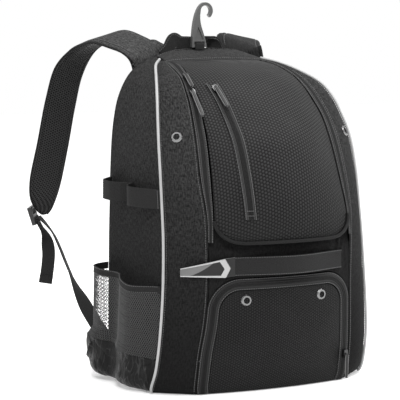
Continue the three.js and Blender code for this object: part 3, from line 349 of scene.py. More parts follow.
def make_object(name, points, faces, uv=None, smooth=True):
    """A mesh object in metres from points in millimetres. uv is per point, in millimetres."""
    mesh = bpy.data.meshes.new(name)
    mesh.from_pydata((np.asarray(points) * 0.001).tolist(), [], [list(map(int, f)) for f in faces])
    mesh.update()
    if uv is not None:
        layer = mesh.uv_layers.new(name="mm")
        corner = np.empty(len(mesh.loops), int)
        mesh.loops.foreach_get("vertex_index", corner)
        layer.data.foreach_set("uv", np.asarray(uv, np.float32)[corner].ravel())
    mesh.polygons.foreach_set("use_smooth", [smooth] * len(mesh.polygons))
    piece = bpy.data.objects.new(name, mesh)
    bpy.context.scene.collection.objects.link(piece)
    return piece


def finish_piece(piece, material, stands_for=()):
    """Gives a piece its material and ties it to the frame, in place of the nodes it stands for."""
    piece.data.materials.append(material)
    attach(piece, "root")
    if stands_for:
        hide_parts(*stands_for)
    return piece


def arc_lengths(grid, axis):
    """Distances along the rows or columns of a grid, from its first."""
    step = np.linalg.norm(np.diff(grid, axis=axis), axis=-1)
    start = np.zeros_like(np.take(step, [0], axis=axis))
    return np.cumsum(np.concatenate([start, step], axis=axis), axis=axis)


def skin(name, grid, thickness, relief=None):
    """A closed sheet under a grid of outer points, which relief raises along their normals."""
    out = normals(grid)
    rows, columns = grid.shape[:2]
    inner = grid - out * thickness
    outer = grid if relief is None else grid + out * relief[..., None]
    number = np.arange(rows * columns).reshape(rows, columns)
    below = number + rows * columns
    faces = np.concatenate([
        quads(number[:-1, :-1], number[:-1, 1:], number[1:, 1:], number[1:, :-1]),
        quads(below[:-1, :-1], below[1:, :-1], below[1:, 1:], below[:-1, 1:]),
        quads(number[:-1, 0], number[1:, 0], below[1:, 0], below[:-1, 0]),
        quads(number[:-1, -1], below[:-1, -1], below[1:, -1], number[1:, -1]),
        quads(number[0, :-1], below[0, :-1], below[0, 1:], number[0, 1:]),
        quads(number[-1, :-1], number[-1, 1:], below[-1, 1:], below[-1, :-1]),
    ])
    across, along = arc_lengths(grid, 1), arc_lengths(grid, 0)
    middle = across[:, columns // 2][:, None]
    uv = np.stack([across - middle, along], axis=-1).reshape(-1, 2)
    points = np.concatenate([outer.reshape(-1, 3), inner.reshape(-1, 3)])
    return make_object(name, points, faces, np.tile(uv, (2, 1)))


def quads(*corners):
    """Faces from four grids of vertex numbers."""
    return np.stack([c.ravel() for c in corners], axis=-1)


def tube(name, line, section, frames=None, closed=False):
    """A closed solid swept along a line of points. section is a ring of (across, out) offsets."""
    line, section = np.asarray(line, float), np.asarray(section, float)
    step = np.roll(line, -1, 0) - np.roll(line, 1, 0) if closed else np.gradient(line, axis=0)
    along = unit(step)
    if frames is None:
        across = [unit(np.cross(along[0], (0.13, 0.27, 0.95)))]
        for ahead in along[1:]:
            across.append(unit(across[-1] - ahead * np.dot(across[-1], ahead)))
        across = np.array(across)
    else:
        across = unit(frames - along * np.sum(frames * along, axis=-1, keepdims=True))
    out = np.cross(across, along)
    if section.ndim == 2:
        section = np.broadcast_to(section, (len(line), *section.shape))
    rings = line[:, None] + across[:, None] * section[..., :1] + out[:, None] * section[..., 1:]
    count, sides = rings.shape[:2]
    number = np.arange(count * sides).reshape(count, sides)
    ahead = np.roll(number, -1, 1)
    last = slice(None) if closed else slice(0, -1)
    next_ring = np.roll(number, -1, 0)
    faces = quads(number[last], ahead[last], np.roll(next_ring, -1, 1)[last], next_ring[last]).tolist()
    if not closed:
        faces += [number[0, ::-1].tolist(), number[-1].tolist()]
    around = arc_lengths(np.concatenate([rings, rings[:, :1]], axis=1), 1)[:, :-1]
    length = arc_lengths(line[:, None], 0)
    uv = np.stack([around, np.broadcast_to(length, around.shape)], axis=-1).reshape(-1, 2)
    return make_object(name, rings.reshape(-1, 3), faces, uv)


def flat_section(width, thickness, corner=0.45):
    """A flat section with rounded edges, for webbing."""
    half, radius = width / 2, thickness * corner
    turn = np.linspace(0, math.pi / 2, 6)
    middle = np.array((half - radius, thickness / 2 - radius))
    quarter = middle + radius * np.stack([np.sin(turn), np.cos(turn)], -1)
    right = np.concatenate([quarter, quarter[::-1] * (1, -1)])
    fill = column_of(1, -1, 8)[1:-1]
    top = np.concatenate([-fill * (half - radius), np.full_like(fill, thickness / 2)], axis=1)
    bottom = top[::-1] * (1, -1)
    return np.concatenate([top, right, bottom, (right * (-1, 1))[::-1]])


def round_section(radius, sides=12):
    angle = np.linspace(0, 2 * math.pi, sides, endpoint=False)
    return np.stack([radius * np.cos(angle), radius * np.sin(angle)], -1)


def mirror(grid):
    """The same grid on the left, its columns turned so that its outside still faces out."""
    return (grid * (-1, 1, 1))[:, ::-1]


def resample(line, count):
    """Evenly spaced points along a line of points."""
    length = np.concatenate([[0], np.cumsum(np.linalg.norm(np.diff(line, axis=0), axis=1))])
    even = np.linspace(0, length[-1], count)
    return np.stack([np.interp(even, length, line[:, k]) for k in range(3)], -1)


def cells(u, v, pitch):
    """How near a place is to the middle of its cell, in a field of six-sided cells."""
    nearest = np.inf
    for shift_u, shift_v in ((0, 0), (pitch * math.sqrt(3) / 2, pitch / 2)):
        x = np.mod(u + shift_u, pitch * math.sqrt(3)) - pitch * math.sqrt(3) / 2
        y = np.mod(v + shift_v, pitch) - pitch / 2
        nearest = np.minimum(nearest, np.hypot(x, y))
    return np.clip(1 - nearest / (pitch * 0.56), 0, 1)


def folds(across, along, count, seed, width, depth, lean=0.5):
    """Creases in cloth, running along with a lean, over shares across and along."""
    chance = np.random.default_rng(seed)
    height = np.zeros(np.broadcast(across, along).shape)
    for k in range(count):
        centre = (k + chance.uniform(0.1, 0.9)) / count
        slant = chance.uniform(-lean, lean) / count * 2
        wide = width * chance.uniform(0.6, 1.5)
        middle = chance.uniform(0.2, 0.8)
        reach = chance.uniform(0.35, 0.8)
        line = centre + slant * (along - 0.5) + 0.01 * np.sin(9 * along + 7 * centre)
        fade = np.exp(-((along - middle) / reach) ** 2)
        height += chance.uniform(-1, 1.2) * np.exp(-np.abs((across - line) / wide) ** 1.5) * fade
    return depth * height


def from_edge(u, v):
    """The distance to the nearest edge of a grid, the upper edge apart."""
    return np.minimum(np.minimum(u, u[:, -1:] - u), v[-1:] - v)


def sampled(grid, row, column):
    """Points of a grid at shares of its rows and columns."""
    y, x = row * (grid.shape[0] - 1), column * (grid.shape[1] - 1)
    i = np.clip(y.astype(int), 0, grid.shape[0] - 2)
    j = np.clip(x.astype(int), 0, grid.shape[1] - 2)
    b, a = (y - i)[..., None], (x - j)[..., None]
    low = lerp(grid[i, j], grid[i, j + 1], a)
    return lerp(low, lerp(grid[i + 1, j], grid[i + 1, j + 1], a), b)


def net(name, grid):
    """A knotless net over a grid: strands that cross both ways, drawn as four-sided cords."""
    wide = float(arc_lengths(grid, 1)[:, -1].mean())
    tall = float(arc_lengths(grid, 0)[-1].mean())
    out = normals(grid)
    half = NET_CORD / 2
    points, faces, first = [], [], 0
    for turn in (1, -1):
        start, end = (-tall * NET_SLOPE, wide) if turn > 0 else (0, wide + tall * NET_SLOPE)
        for foot in np.arange(start, end, NET_PITCH):
            climb = np.linspace(0, tall, int(tall / 1.6))
            u = foot + turn * climb * NET_SLOPE
            keep = (u >= 0) & (u <= wide)
            if keep.sum() < 3:
                continue
            row, column = climb[keep] / tall, u[keep] / wide
            face = unit(sampled(out, row, column))
            lift = 0.28 * turn * np.cos(math.pi * climb[keep] / NET_PITCH)
            line = sampled(grid, row, column) + face * lift[:, None]
            across = unit(np.cross(unit(np.gradient(line, axis=0)), face)) * half
            above = face * half * 0.8
            ring = [line + across, line + above, line - across, line - above]
            number = first + np.arange(len(line) * 4).reshape(-1, 4)
            ahead = np.roll(number, -1, 1)
            faces.append(quads(number[:-1], ahead[:-1], ahead[1:], number[1:]))
            points.append(np.stack(ring, 1).reshape(-1, 3))
            first += number.size
    points = np.concatenate(points)
    return make_object(name, points, np.concatenate(faces), np.zeros((len(points), 2)))


def along_line(line, values, at):
    """Values that belong to a line's points, at distances along the line."""
    total = np.concatenate([[0], np.cumsum(np.linalg.norm(np.diff(line, axis=0), axis=1))])
    return np.stack([np.interp(at, total, values[:, k]) for k in range(3)], -1)


def stitches(name, lines, pitch):
    """Rows of short thread stitches. Each line is points and the outward directions there."""
    points, faces, first = [], [], 0
    sides = np.array([(0, 1, 2, 3), (7, 6, 5, 4), (0, 4, 5, 1), (1, 5, 6, 2), (2, 6, 7, 3), (3, 7, 4, 0)])
    for line, out in lines:
        at = np.arange(pitch / 2, np.linalg.norm(np.diff(line, axis=0), axis=1).sum(), pitch)
        here = along_line(line, line, at)
        face = unit(along_line(line, out, at))
        along = unit(along_line(line, line, at + 0.3) - here)
        side = np.cross(along, face)
        for middle, a, b, n in zip(here + face * 0.15, along * STITCH_LENGTH / 2,
                                   side * STITCH_HALF, face * STITCH_HALF):
            low = [middle - a - b, middle + a - b, middle + a + b, middle - a + b]
            top = [q + n - (q - middle) * 0.25 for q in low]
            points.extend(top + [q - n for q in low])
            faces.append(sides + first)
            first += 8
    return make_object(name, np.array(points), np.concatenate(faces), smooth=False)


# Materials

class Graph:
    """A material being put together from nodes."""

    def __init__(self, name):
        self.material = bpy.data.materials.new(name)
        self.material.use_nodes = True
        self.tree = self.material.node_tree
        self.surface = self.tree.nodes["Principled BSDF"]

    def node(self, kind, inputs=(), output=0, **settings):
        made = self.tree.nodes.new(kind)
        for key, value in settings.items():
            setattr(made, key, value)
        for key, value in dict(inputs).items():
            self.put(made.inputs[key], value)
        return made.outputs[output]

    def put(self, socket, value):
        if isinstance(value, bpy.types.NodeSocket):
            self.tree.links.new(value, socket)
        else:
            socket.default_value = value

    def math(self, operation, a, b=0.0, c=0.0, clamp=False):
        return self.node("ShaderNodeMath", {0: a, 1: b, 2: c}, operation=operation, use_clamp=clamp)

    def vector(self, operation, a, b=(0, 0, 0), output=0):
        return self.node("ShaderNodeVectorMath", {0: a, 1: b}, output, operation=operation)

    def millimetres(self):
        """The surface's own across and along, in millimetres."""
        return self.node("ShaderNodeUVMap", uv_map="mm")

    def split(self, vector):
        parts = self.tree.nodes.new("ShaderNodeSeparateXYZ")
        self.put(parts.inputs[0], vector)
        return parts.outputs[0], parts.outputs[1]

    def painted_downward_shade(self, low, high, foot):
        """From foot up to 1 between two heights above the floor: painted shade, which darkens cloth towards
        the floor in place of light that falls off downwards.
        """
        parts = self.tree.nodes.new("ShaderNodeSeparateXYZ")
        self.put(parts.inputs[0], self.node("ShaderNodeTexCoord", output=3))
        return self.ramp(parts.outputs[2], low, high, foot, 1.0)

    def noise(self, vector, scale, detail=2.0, roughness=0.5):
        inputs = {"Vector": vector, "Scale": scale, "Detail": detail, "Roughness": roughness}
        return self.node("ShaderNodeTexNoise", inputs)

    def mix(self, share, low, high):
        made = self.tree.nodes.new("ShaderNodeMix")
        made.data_type = "RGBA"
        self.put(made.inputs[0], share)
        self.put(made.inputs[6], low)
        self.put(made.inputs[7], high)
        return made.outputs[2]

    def ramp(self, value, low, high, to_low=0.0, to_high=1.0):
        inputs = {0: value, 1: low, 2: high, 3: to_low, 4: to_high}
        return self.node("ShaderNodeMapRange", inputs, interpolation_type="SMOOTHSTEP")

    def finish(self, colour, roughness, height=None, depth=0.3, **values):
        self.put(self.surface.inputs["Base Color"], colour)
        self.put(self.surface.inputs["Roughness"], roughness)
        for key, value in values.items():
            self.put(self.surface.inputs[key.replace("_", " ")], value)
        if height is not None:
            bump = self.node("ShaderNodeBump", {"Height": height, "Distance": depth * 0.001, "Strength": 1.0})
            self.put(self.surface.inputs["Normal"], bump)
        return self.material


def grey(level):
    return (level, level, level, 1)


def weave(g, mm, pitch):
    """The height of a plain weave, from 0 in the gaps to 1 on the threads."""
    u, v = g.split(mm)
    across = g.math("SINE", g.math("MULTIPLY", u, 2 * math.pi / pitch))
    along = g.math("SINE", g.math("MULTIPLY", v, 2 * math.pi / pitch))
    return g.math("MULTIPLY_ADD", g.math("MULTIPLY", across, along), 0.5, 0.5)


def heather(name, dark, light, pitch=0.9, foot=1.0):
    """Plain-woven cloth whose yarns vary in tone, with painted shade towards the floor when foot is below 1.
    """
    g = Graph(name)
    mm = g.millimetres()
    threads = weave(g, mm, pitch)
    warp = g.noise(g.vector("MULTIPLY", mm, (1.4, 0.12, 1)), 1.0, 2)
    weft = g.noise(g.vector("MULTIPLY", mm, (0.12, 1.4, 1)), 1.0, 2)
    slub = g.noise(g.vector("MULTIPLY", mm, (0.5, 0.22, 1)), 1.0, 3)
    yarns = g.math("ADD", g.math("MULTIPLY", warp, 0.34), g.math("MULTIPLY", weft, 0.28))
    melange = g.math("ADD", yarns, g.math("MULTIPLY", slub, 0.38))
    tone = g.ramp(melange, 0.40, 0.60)
    broad = g.noise(mm, 0.02, 2)
    share = g.math("MULTIPLY_ADD", tone, 0.8, g.math("MULTIPLY", broad, 0.2))
    # Painted shade: the tone darkens towards the floor, down to foot of its share.
    share = g.math("MULTIPLY", share, g.painted_downward_shade(0.02, 0.42, foot))
    colour = g.mix(share, grey(dark), grey(light))
    height = g.math("ADD", threads, g.math("MULTIPLY", tone, 0.6))
    return g.finish(colour, 0.88, height, 0.25, Specular_IOR_Level=0.06)


def honeycomb(g, mm, pitch):
    """How near a place is to its cell's middle, in a field of six-sided cells."""
    step = (pitch * math.sqrt(3), pitch, 1)
    half = (pitch * math.sqrt(3) / 2, pitch / 2, 0)
    nearest = None
    for shift in ((0, 0, 0), half):
        cell = g.vector("WRAP", g.vector("ADD", mm, shift), step)
        flat = g.vector("MULTIPLY", g.vector("SUBTRACT", cell, half), (1, 1, 0))
        length = g.vector("LENGTH", flat, output=1)
        nearest = length if nearest is None else g.math("MINIMUM", nearest, length)
    return g.math("SUBTRACT", 1.0, g.math("DIVIDE", nearest, pitch * 0.56), clamp=True)


def embossed(name, dark, light, pitch, depth, foot):
    """Cloth pressed into a honeycomb of small crowns, with painted shade that darkens it towards the floor.
    """
    g = Graph(name)
    mm = g.millimetres()
    crown = g.ramp(honeycomb(g, mm, pitch), 0.1, 0.8)
    broad = g.noise(mm, 0.015, 2)
    grain = g.noise(mm, 1.6, 2)
    cloud = g.math("MULTIPLY_ADD", broad, 0.25, -0.05)
    share = g.math("ADD", g.math("MULTIPLY", crown, 0.7), cloud, clamp=True)
    # Painted shade: the tone darkens towards the floor, down to foot of its share.
    share = g.math("MULTIPLY", share, g.painted_downward_shade(0.15, 0.47, foot))
    colour = g.mix(share, grey(dark), grey(light))
    height = g.math("ADD", crown, g.math("MULTIPLY", grain, 0.12))
    return g.finish(colour, 0.62, height, depth, Specular_IOR_Level=0.1)


def ribbed(name, dark, light, pitch=2.2):
    """Webbing: fine ribs across and slanting yarns."""
    g = Graph(name)
    mm = g.millimetres()
    u, v = g.split(mm)
    slant = g.math("ADD", v, g.math("PINGPONG", u, pitch))
    yarn = g.math("SINE", g.math("MULTIPLY", slant, 2 * math.pi / pitch))
    ribs = g.math("SINE", g.math("MULTIPLY", u, 2 * math.pi / 1.3))
    height = g.math("MULTIPLY_ADD", yarn, 0.3, g.math("MULTIPLY", ribs, 0.25))
    share = g.math("MULTIPLY_ADD", height, 0.6, g.noise(mm, 0.6, 3))
    colour = g.mix(g.ramp(share, 0.1, 0.9), grey(dark), grey(light))
    return g.finish(colour, 0.7, height, 0.3, Specular_IOR_Level=0.12)


def nylon(name, dark, light, roughness):
    """Thin crinkled cloth whose creases carry pale lines of painted highlight."""
    g = Graph(name)
    mm = g.millimetres()
    threads = weave(g, mm, 0.7)
    soft = g.noise(g.vector("MULTIPLY", mm, (1.0, 0.35, 1)), 0.07, 3)
    waves = g.noise(g.vector("MULTIPLY", mm, (1.0, 0.3, 1)), 0.09, 1)
    # Painted highlight: thin pale lines along the creases in the colour; the same lines also raise the bump.
    crease_and_highlight = g.ramp(g.math("ABSOLUTE", g.math("SUBTRACT", waves, 0.5)), 0.035, 0.0)
    share = g.math("MULTIPLY_ADD", crease_and_highlight, 0.4, g.math("MULTIPLY", soft, 0.12))
    colour = g.mix(share, grey(dark), grey(light))
    height = g.math("ADD", g.math("MULTIPLY", threads, 0.12), g.math("MULTIPLY", soft, 5.0))
    height = g.math("ADD", height, crease_and_highlight)
    return g.finish(colour, roughness, height, 0.8, Specular_IOR_Level=0.1)


def spacer(name):
    """Knitted spacer mesh: rows of small round holes."""
    g = Graph(name)
    mm = g.millimetres()
    hole = g.ramp(honeycomb(g, mm, SPACER_CELL), 0.35, 0.65)
    colour = g.mix(hole, grey(0.021), grey(0.001))
    height = g.math("SUBTRACT", 1.0, hole)
    return g.finish(colour, 0.75, height, 0.8, Specular_IOR_Level=0.1)


def plain(name, level, roughness, grain=0.4, depth=0.05, metallic=0.0, specular=0.5):
    """A nearly even surface, a little cloudy in tone and roughness."""
    g = Graph(name)
    where = g.node("ShaderNodeTexCoord", output=3)
    fleck = g.noise(where, 900, 3)
    cloud = g.noise(where, 40, 2)
    colour = g.mix(cloud, grey(level * (1 - 0.3 * grain)), grey(level * (1 + 0.3 * grain)))
    rough = g.math("MULTIPLY_ADD", cloud, 0.15, roughness - 0.07)
    return g.finish(colour, rough, fleck, depth, Metallic=metallic, Specular_IOR_Level=specular)


def tape(name, dark, light):
    """Coated zip tape: raised lines along its length."""
    g = Graph(name)
    mm = g.millimetres()
    u, _ = g.split(mm)
    lines = g.math("SINE", g.math("MULTIPLY", u, 2 * math.pi / 2.1))
    grain = g.noise(mm, 1.2, 3)
    share = g.math("MULTIPLY_ADD", lines, 0.3, g.math("MULTIPLY", grain, 0.8))
    colour = g.mix(g.ramp(share, 0.0, 0.8), grey(dark), grey(light))
    height = g.math("MULTIPLY_ADD", lines, 0.5, g.math("MULTIPLY", grain, 0.2))
    return g.finish(colour, 0.55, height, 0.5, Specular_IOR_Level=0.15)


# heather_cloth, dome_cloth and pocket_cloth carry painted shade: their foot below 1 darkens them towards the
# floor.
heather_cloth = heather("heather_cloth", 0.003, 0.040, foot=0.2)
strap_heather = heather("strap_heather", 0.010, 0.062)
band_cloth = heather("band_cloth", 0.010, 0.040)
dome_cloth = embossed("dome_cloth", 0.002, 0.041, DOME_CELL, 0.25, foot=0.4)
pocket_cloth = embossed("pocket_cloth", 0.001, 0.026, POCKET_CELL, 0.5, foot=0.6)
recess_cloth = heather("recess_cloth", 0.003, 0.013, 1.4)
webbing = ribbed("black_webbing", 0.004, 0.018)
strap_cloth = ribbed("grey_webbing", 0.004, 0.020)
binding = ribbed("binding", 0.003, 0.012, 1.6)
# The light tone of cup_nylon and strap_lining is the painted highlight along their creases.
cup_nylon = nylon("cup_nylon", 0.001, 0.045, 0.3)
lining = nylon("strap_lining", 0.003, 0.007, 0.6)
spacer_mesh = spacer("spacer_mesh")
net_cord = plain("net_cord", 0.035, 0.6)
thread = plain("thread", 0.07, 0.7)
light_cord = plain("light_cord", 0.07, 0.55)
zip_tape = tape("zip_tape", 0.008, 0.040)
lower_tape = tape("lower_zip_tape", 0.004, 0.020)
reflective = plain("reflective_cord", 0.27, 0.5)
silver = plain("silver_print", 0.27, 0.42)
plastic = plain("moulded_plastic", 0.055, 0.25, 0.5, 0.08)
black_plastic = plain("black_plastic", 0.012, 0.3, 0.5, 0.08, specular=0.3)
nickel = plain("nickel", 0.16, 0.25, 0.3, 0.05, metallic=1.0)
gunmetal = plain("gunmetal", 0.06, 0.3, 0.3, 0.05, metallic=1.0)
dull_silver = plain("dull_silver", 0.085, 0.5)
rubber = plain("rubber", 0.008, 0.5, specular=0.25)


# Pieces

def both(name, grid, thickness, material, node, relief=None):
    """One sheet on the right and its mirror image on the left."""
    flipped = None if relief is None else relief[:, ::-1]
    for word, outer, raised in (("right", grid, relief), ("left", mirror(grid), flipped)):
        finish_piece(skin(f"{name}_{word}", outer, thickness, raised), material, [f"{node}_{word}"])


def sewn(name, lines, pitch=STITCH_PITCH):
    finish_piece(stitches(name, lines, pitch), thread)


def both_sewn(name, lines, pitch=STITCH_PITCH):
    """Rows of stitches on the right and on the left."""
    for word, side in SIDES:
        sewn(f"{name}_{word}", [(line * side, out * side) for line, out in lines], pitch)


def build_sides():
    t = np.linspace(0, 1, 161)
    level = t[:, None, None]
    share = row_of(0, 1, 65)[..., None]
    back, piping, seam = (line(t)[:, None] for line in (back_seam, piping_seam, zip_seam))
    up = unit(np.gradient(seam[:, 0], axis=0))[:, None]
    out = unit(np.cross(up, seam - piping))
    reach = np.linalg.norm(seam - piping, axis=-1, keepdims=True)
    bow = GUSSET_BOW * share * (1 - share) * reach * np.minimum(1, 8 * level)
    gusset = (lerp(piping, seam, share) + out * bow)[:, ::-1]
    side_out = unit(np.stack([np.ones_like(t), 0 * t, 0.4 * t * t], -1))[:, None]
    depth = np.linalg.norm(back - piping, axis=-1, keepdims=True)
    side = (lerp(back, piping, share) + side_out * SIDE_BOW * share * (1 - share) * depth)[:, ::-1]
    soft = folds(share[..., 0], t[:, None], 5, 3, 0.1, 0.5) * np.sin(math.pi * share[..., 0])
    both("gusset_cloth", gusset[:, ::2], WALL, heather_cloth, "gusset", soft[:, ::2])
    both("side_cloth", side[::2, ::4], WALL, heather_cloth, "side_panel")
    face = normals(gusset)
    both_sewn("gusset_stitch", [(gusset[4:, k], face[4:, k]) for k in (3, -4)])
    cord = piping_seam(t) + face[:, -1] * 2.6
    cord[:, 2] = np.maximum(cord[:, 2], 2.3)
    for word, turn in SIDES:
        piece = tube(f"piping_cord_{word}", resample(cord * turn, 260), round_section(2.0))
        finish_piece(piece, reflective, [f"piping_{word}"])


def build_dome():
    """The domed pocket, whose lower edge turns back to the recess, and the binding round it."""
    rows = np.concatenate([[0, 0.004, 0.009, 0.015], np.linspace(0.02, 1, 236)])
    across = row_of(-1, 1, 185)
    t = rows[:, None]
    inset = 1 - SEAM_GAP / dome_edge(0.3)[0]
    face = dome_at(across * corner_leaves(t) * inset, t)
    back_edge = face[0] * (0.985, 1, 1)
    back_edge[:, 1] = front_at(back_edge[:, 0], back_edge[:, 2] + 2)[:, 1] - WALL - CLEARANCE
    back_edge[:, 2] += 1.5
    grid = np.concatenate([[back_edge, lerp(back_edge, face[0], 0.5)], face])
    u, v = arc_lengths(grid, 1), arc_lengths(grid, 0)
    crown = smoothstep(0.0, 0.75, cells(u - u[:, 92:93], v, DOME_CELL))
    relief = 0.6 * crown * smoothstep(1, 6, from_edge(u, v))
    relief[:3] = 0
    finish_piece(skin("dome_cover", grid, WALL, relief), dome_cloth, ["upper_pocket"])

    corner_t = np.linspace(0, 0.1, 24)
    corner = dome_at(corner_leaves(corner_t), corner_t)[::-1]
    bottom = dome_at(np.linspace(1, -1, 60)[1:-1] * corner_leaves(0.0), 0.0)
    rim = np.concatenate([corner, bottom, corner[::-1] * (-1, 1, 1)])
    rim = resample(rim + (0, -2.7, -1.2), 200)
    finish_piece(tube("dome_rim", rim, round_section(2.4)), binding, ["upper_pocket_rim"])


def build_main_zips():
    t = np.linspace(0, 1, 240)
    seam, edge = zip_seam(lerp(DOME_FIRST, 1, t))[:, None], dome_edge(t)[:, None]
    up = unit(np.gradient(seam[:, 0], axis=0))[:, None]
    out = unit(np.cross(up, edge - seam))
    width = np.linalg.norm(edge - seam, axis=-1, keepdims=True)
    share = lerp(SEAM_GAP / width, 1 - SEAM_GAP / width, row_of(0, 1, 33)[..., None])
    grid = (lerp(seam, edge, share) + out * MAIN_ZIP_BOW * share * (1 - share) * width)[:, ::-1]
    both("main_zip_tape", grid, WALL, zip_tape, "main_zip", zip_relief(grid))
    for word, _ in SIDES:
        darken_middle(f"main_zip_tape_{word}", 32, 10, 22)
    face = normals(grid)
    both_sewn("main_zip_stitch", [(grid[:, k], face[:, k]) for k in (3, -4)])


def build_pocket_zip():
    """The slanting zip that is let into the dome between two raised welts."""
    s = column_of(0, 1, 120)
    t, middle = lerp(0.7, 0.1, s), lerp(-0.75, -0.57, s)
    half = POCKET_ZIP_WIDTH / 2 / dome_edge(t)[..., 0]
    u = row_of(-1, 1, 29)
    grid = dome_at(middle + u * half, t)
    grid = (grid - normals(grid) * 1.5)[::-1]
    relief = 1.5 * smoothstep(0.55, 0.7, np.abs(u)) + zip_relief(grid) * (np.abs(u) < 0.5)
    finish_piece(skin("pocket_zip_tape", grid, 1, relief), zip_tape, ["pocket_zip"])
    darken_middle("pocket_zip_tape", 28, 8, 20)
    face = normals(grid)
    rows = [(grid[:, k] + face[:, k] * 1.5, face[:, k]) for k in (1, -2)]
    rows += [(grid[k, 4:-4] + face[k, 4:-4], face[k, 4:-4]) for k in (3, 6, -4, -7)]
    sewn("pocket_zip_stitch", rows, FINE_STITCH_PITCH)


def darken_middle(name, columns, first, last):
    """Gives a zip's coil, between two columns of its outer grid, the binding's black."""
    mesh = bpy.data.objects[name].data
    mesh.materials.append(binding)
    outer = (len(mesh.polygons) - 2 * columns) // 2
    for row in range(outer // columns):
        for column in range(first, last):
            mesh.polygons[row * columns + column].material_index = 1


def zip_relief(grid):
    """Two covered rows of coil that meet down the middle of a zip's tape."""
    u, v = arc_lengths(grid, 1), arc_lengths(grid, 0)
    from_middle = u - u[:, -1:] / 2
    coil = np.exp(-((np.abs(from_middle) - 1.6) / 1.0) ** 2)
    tooth = 0.5 + 0.5 * np.sin(2 * math.pi * v / 2.4 + np.where(from_middle > 0, math.pi, 0))
    ridge = np.exp(-((np.abs(from_middle) - 4.2) / 0.7) ** 2)
    return 0.9 * coil * (0.6 + 0.4 * tooth) + 0.5 * ridge


def build_recess():
    """The front panel above the lower compartment, gathered at both ends, with a strip between."""
    half = seam_half(ARCH_HEIGHT) - SEAM_GAP
    column = np.sin(row_of(-0.5, 0.5, 150) * math.pi)
    up = column_of(0, 1, 56)
    grid = front_at(half * column, lerp(arch_top(half * column, 0) + SEAM_GAP, RECESS_TOP, up))
    side_way = smoothstep(0.45, 0.9, np.abs(column))
    gathered = folds(0.5 + column / 2, up, 26, 11, 0.014, 3.2, 2.4) * side_way
    gathered *= np.sin(math.pi * up) ** 0.5
    strip = 0.8 * smoothstep(0.42, 0.45, up) * (1 - smoothstep(0.78, 0.81, up)) * (1 - side_way)
    piece = skin("recess_cloth", grid, WALL, np.abs(gathered) + strip)
    finish_piece(piece, recess_cloth, ["front_panel"])


def arch_path(inset):
    """Across and up along the arch, from its right foot over the top to its left foot."""
    legs = np.linspace(1, ARCH_HEIGHT - ARCH_CORNER, 90)
    right = np.stack([arch_half(legs, inset), legs], -1)
    angle = np.linspace(0, math.pi / 2, 50)[1:]
    radius = ARCH_CORNER - inset
    centre = right[-1] - (radius, 0)
    corner = centre + radius * np.stack([np.cos(angle), np.sin(angle)], -1)
    one = np.concatenate([right, corner])
    top = np.linspace(one[-1], one[-1] * (-1, 1), 90)[1:-1]
    return np.concatenate([one, top, one[::-1] * (-1, 1)])


def build_lower_zip():
    shares = np.linspace(0, 1, 29)
    band = np.stack([arch_path(CLEARANCE + s * LOWER_ZIP_WIDTH) for s in shares])
    grid = front_at(band[..., 0], band[..., 1])
    grid[..., 1] -= (1.2 * np.sin(math.pi * shares) ** 0.5)[:, None]
    grid = grid.transpose(1, 0, 2)[:, ::-1]
    piece = skin("lower_zip_tape", grid, WALL, zip_relief(grid))
    finish_piece(piece, lower_tape, ["lower_zip"])
    darken_middle("lower_zip_tape", 28, 9, 19)
    face = normals(grid)
    sewn("lower_zip_stitch", [(grid[:, k], face[:, k]) for k in (2, -3)])


def build_lower_pocket():
    inset = LOWER_ZIP_WIDTH + 0.9
    levels = 0.5 - 0.5 * np.cos(np.linspace(0.12, 1, 96) * math.pi)
    levels = (levels - levels[0]) / (levels[-1] - levels[0])
    z = lerp(1, ARCH_HEIGHT - inset, levels)[:, None]
    across = row_of(-1, 1, 135)
    grid = front_at(arch_half(z, inset) * across, z)
    grid[..., 1] -= 5 * np.sin(math.pi * levels)[:, None] * (1 - across ** 4)
    u, v = arc_lengths(grid, 1), arc_lengths(grid, 0)
    relief = 0.35 * cells(u - u[:, 67:68], v, POCKET_CELL) * smoothstep(1, 5, from_edge(u, v))
    finish_piece(skin("lower_pocket_cloth", grid, WALL, relief), pocket_cloth, ["lower_pocket"])


def build_top_band():
    s = column_of(0, 1, 40)
    across = row_of(-1, 1, 141)
    edge, middle, top = dome_edge(1.0), dome_middle(1.0), back_seam(1.0)
    front = lerp(edge[2], middle[2], 1 - across ** 2)
    back = lerp(top[2], BODY_HEIGHT, 1 - np.abs(across) ** 3)
    half = lerp(zip_seam(1.0)[0], top[0], s) - SEAM_GAP
    y = lerp(edge[1] + SEAM_GAP, BACK_PLANE + BACK_PROUD, s) + 0 * across
    z = lerp(front, back, s) + 2.5 * np.sin(math.pi * s)
    grid = np.stack([half * across, y, z], -1)
    seam = -0.7 * np.exp(-((s - 0.06) / 0.025) ** 2) + 0 * across
    finish_piece(skin("top_band_cloth", grid, WALL, seam), band_cloth, ["top_panel"])
    face = normals(grid)
    sewn("top_band_stitch", [(grid[k, 2:-2], face[k, 2:-2]) for k in (4, -4)])


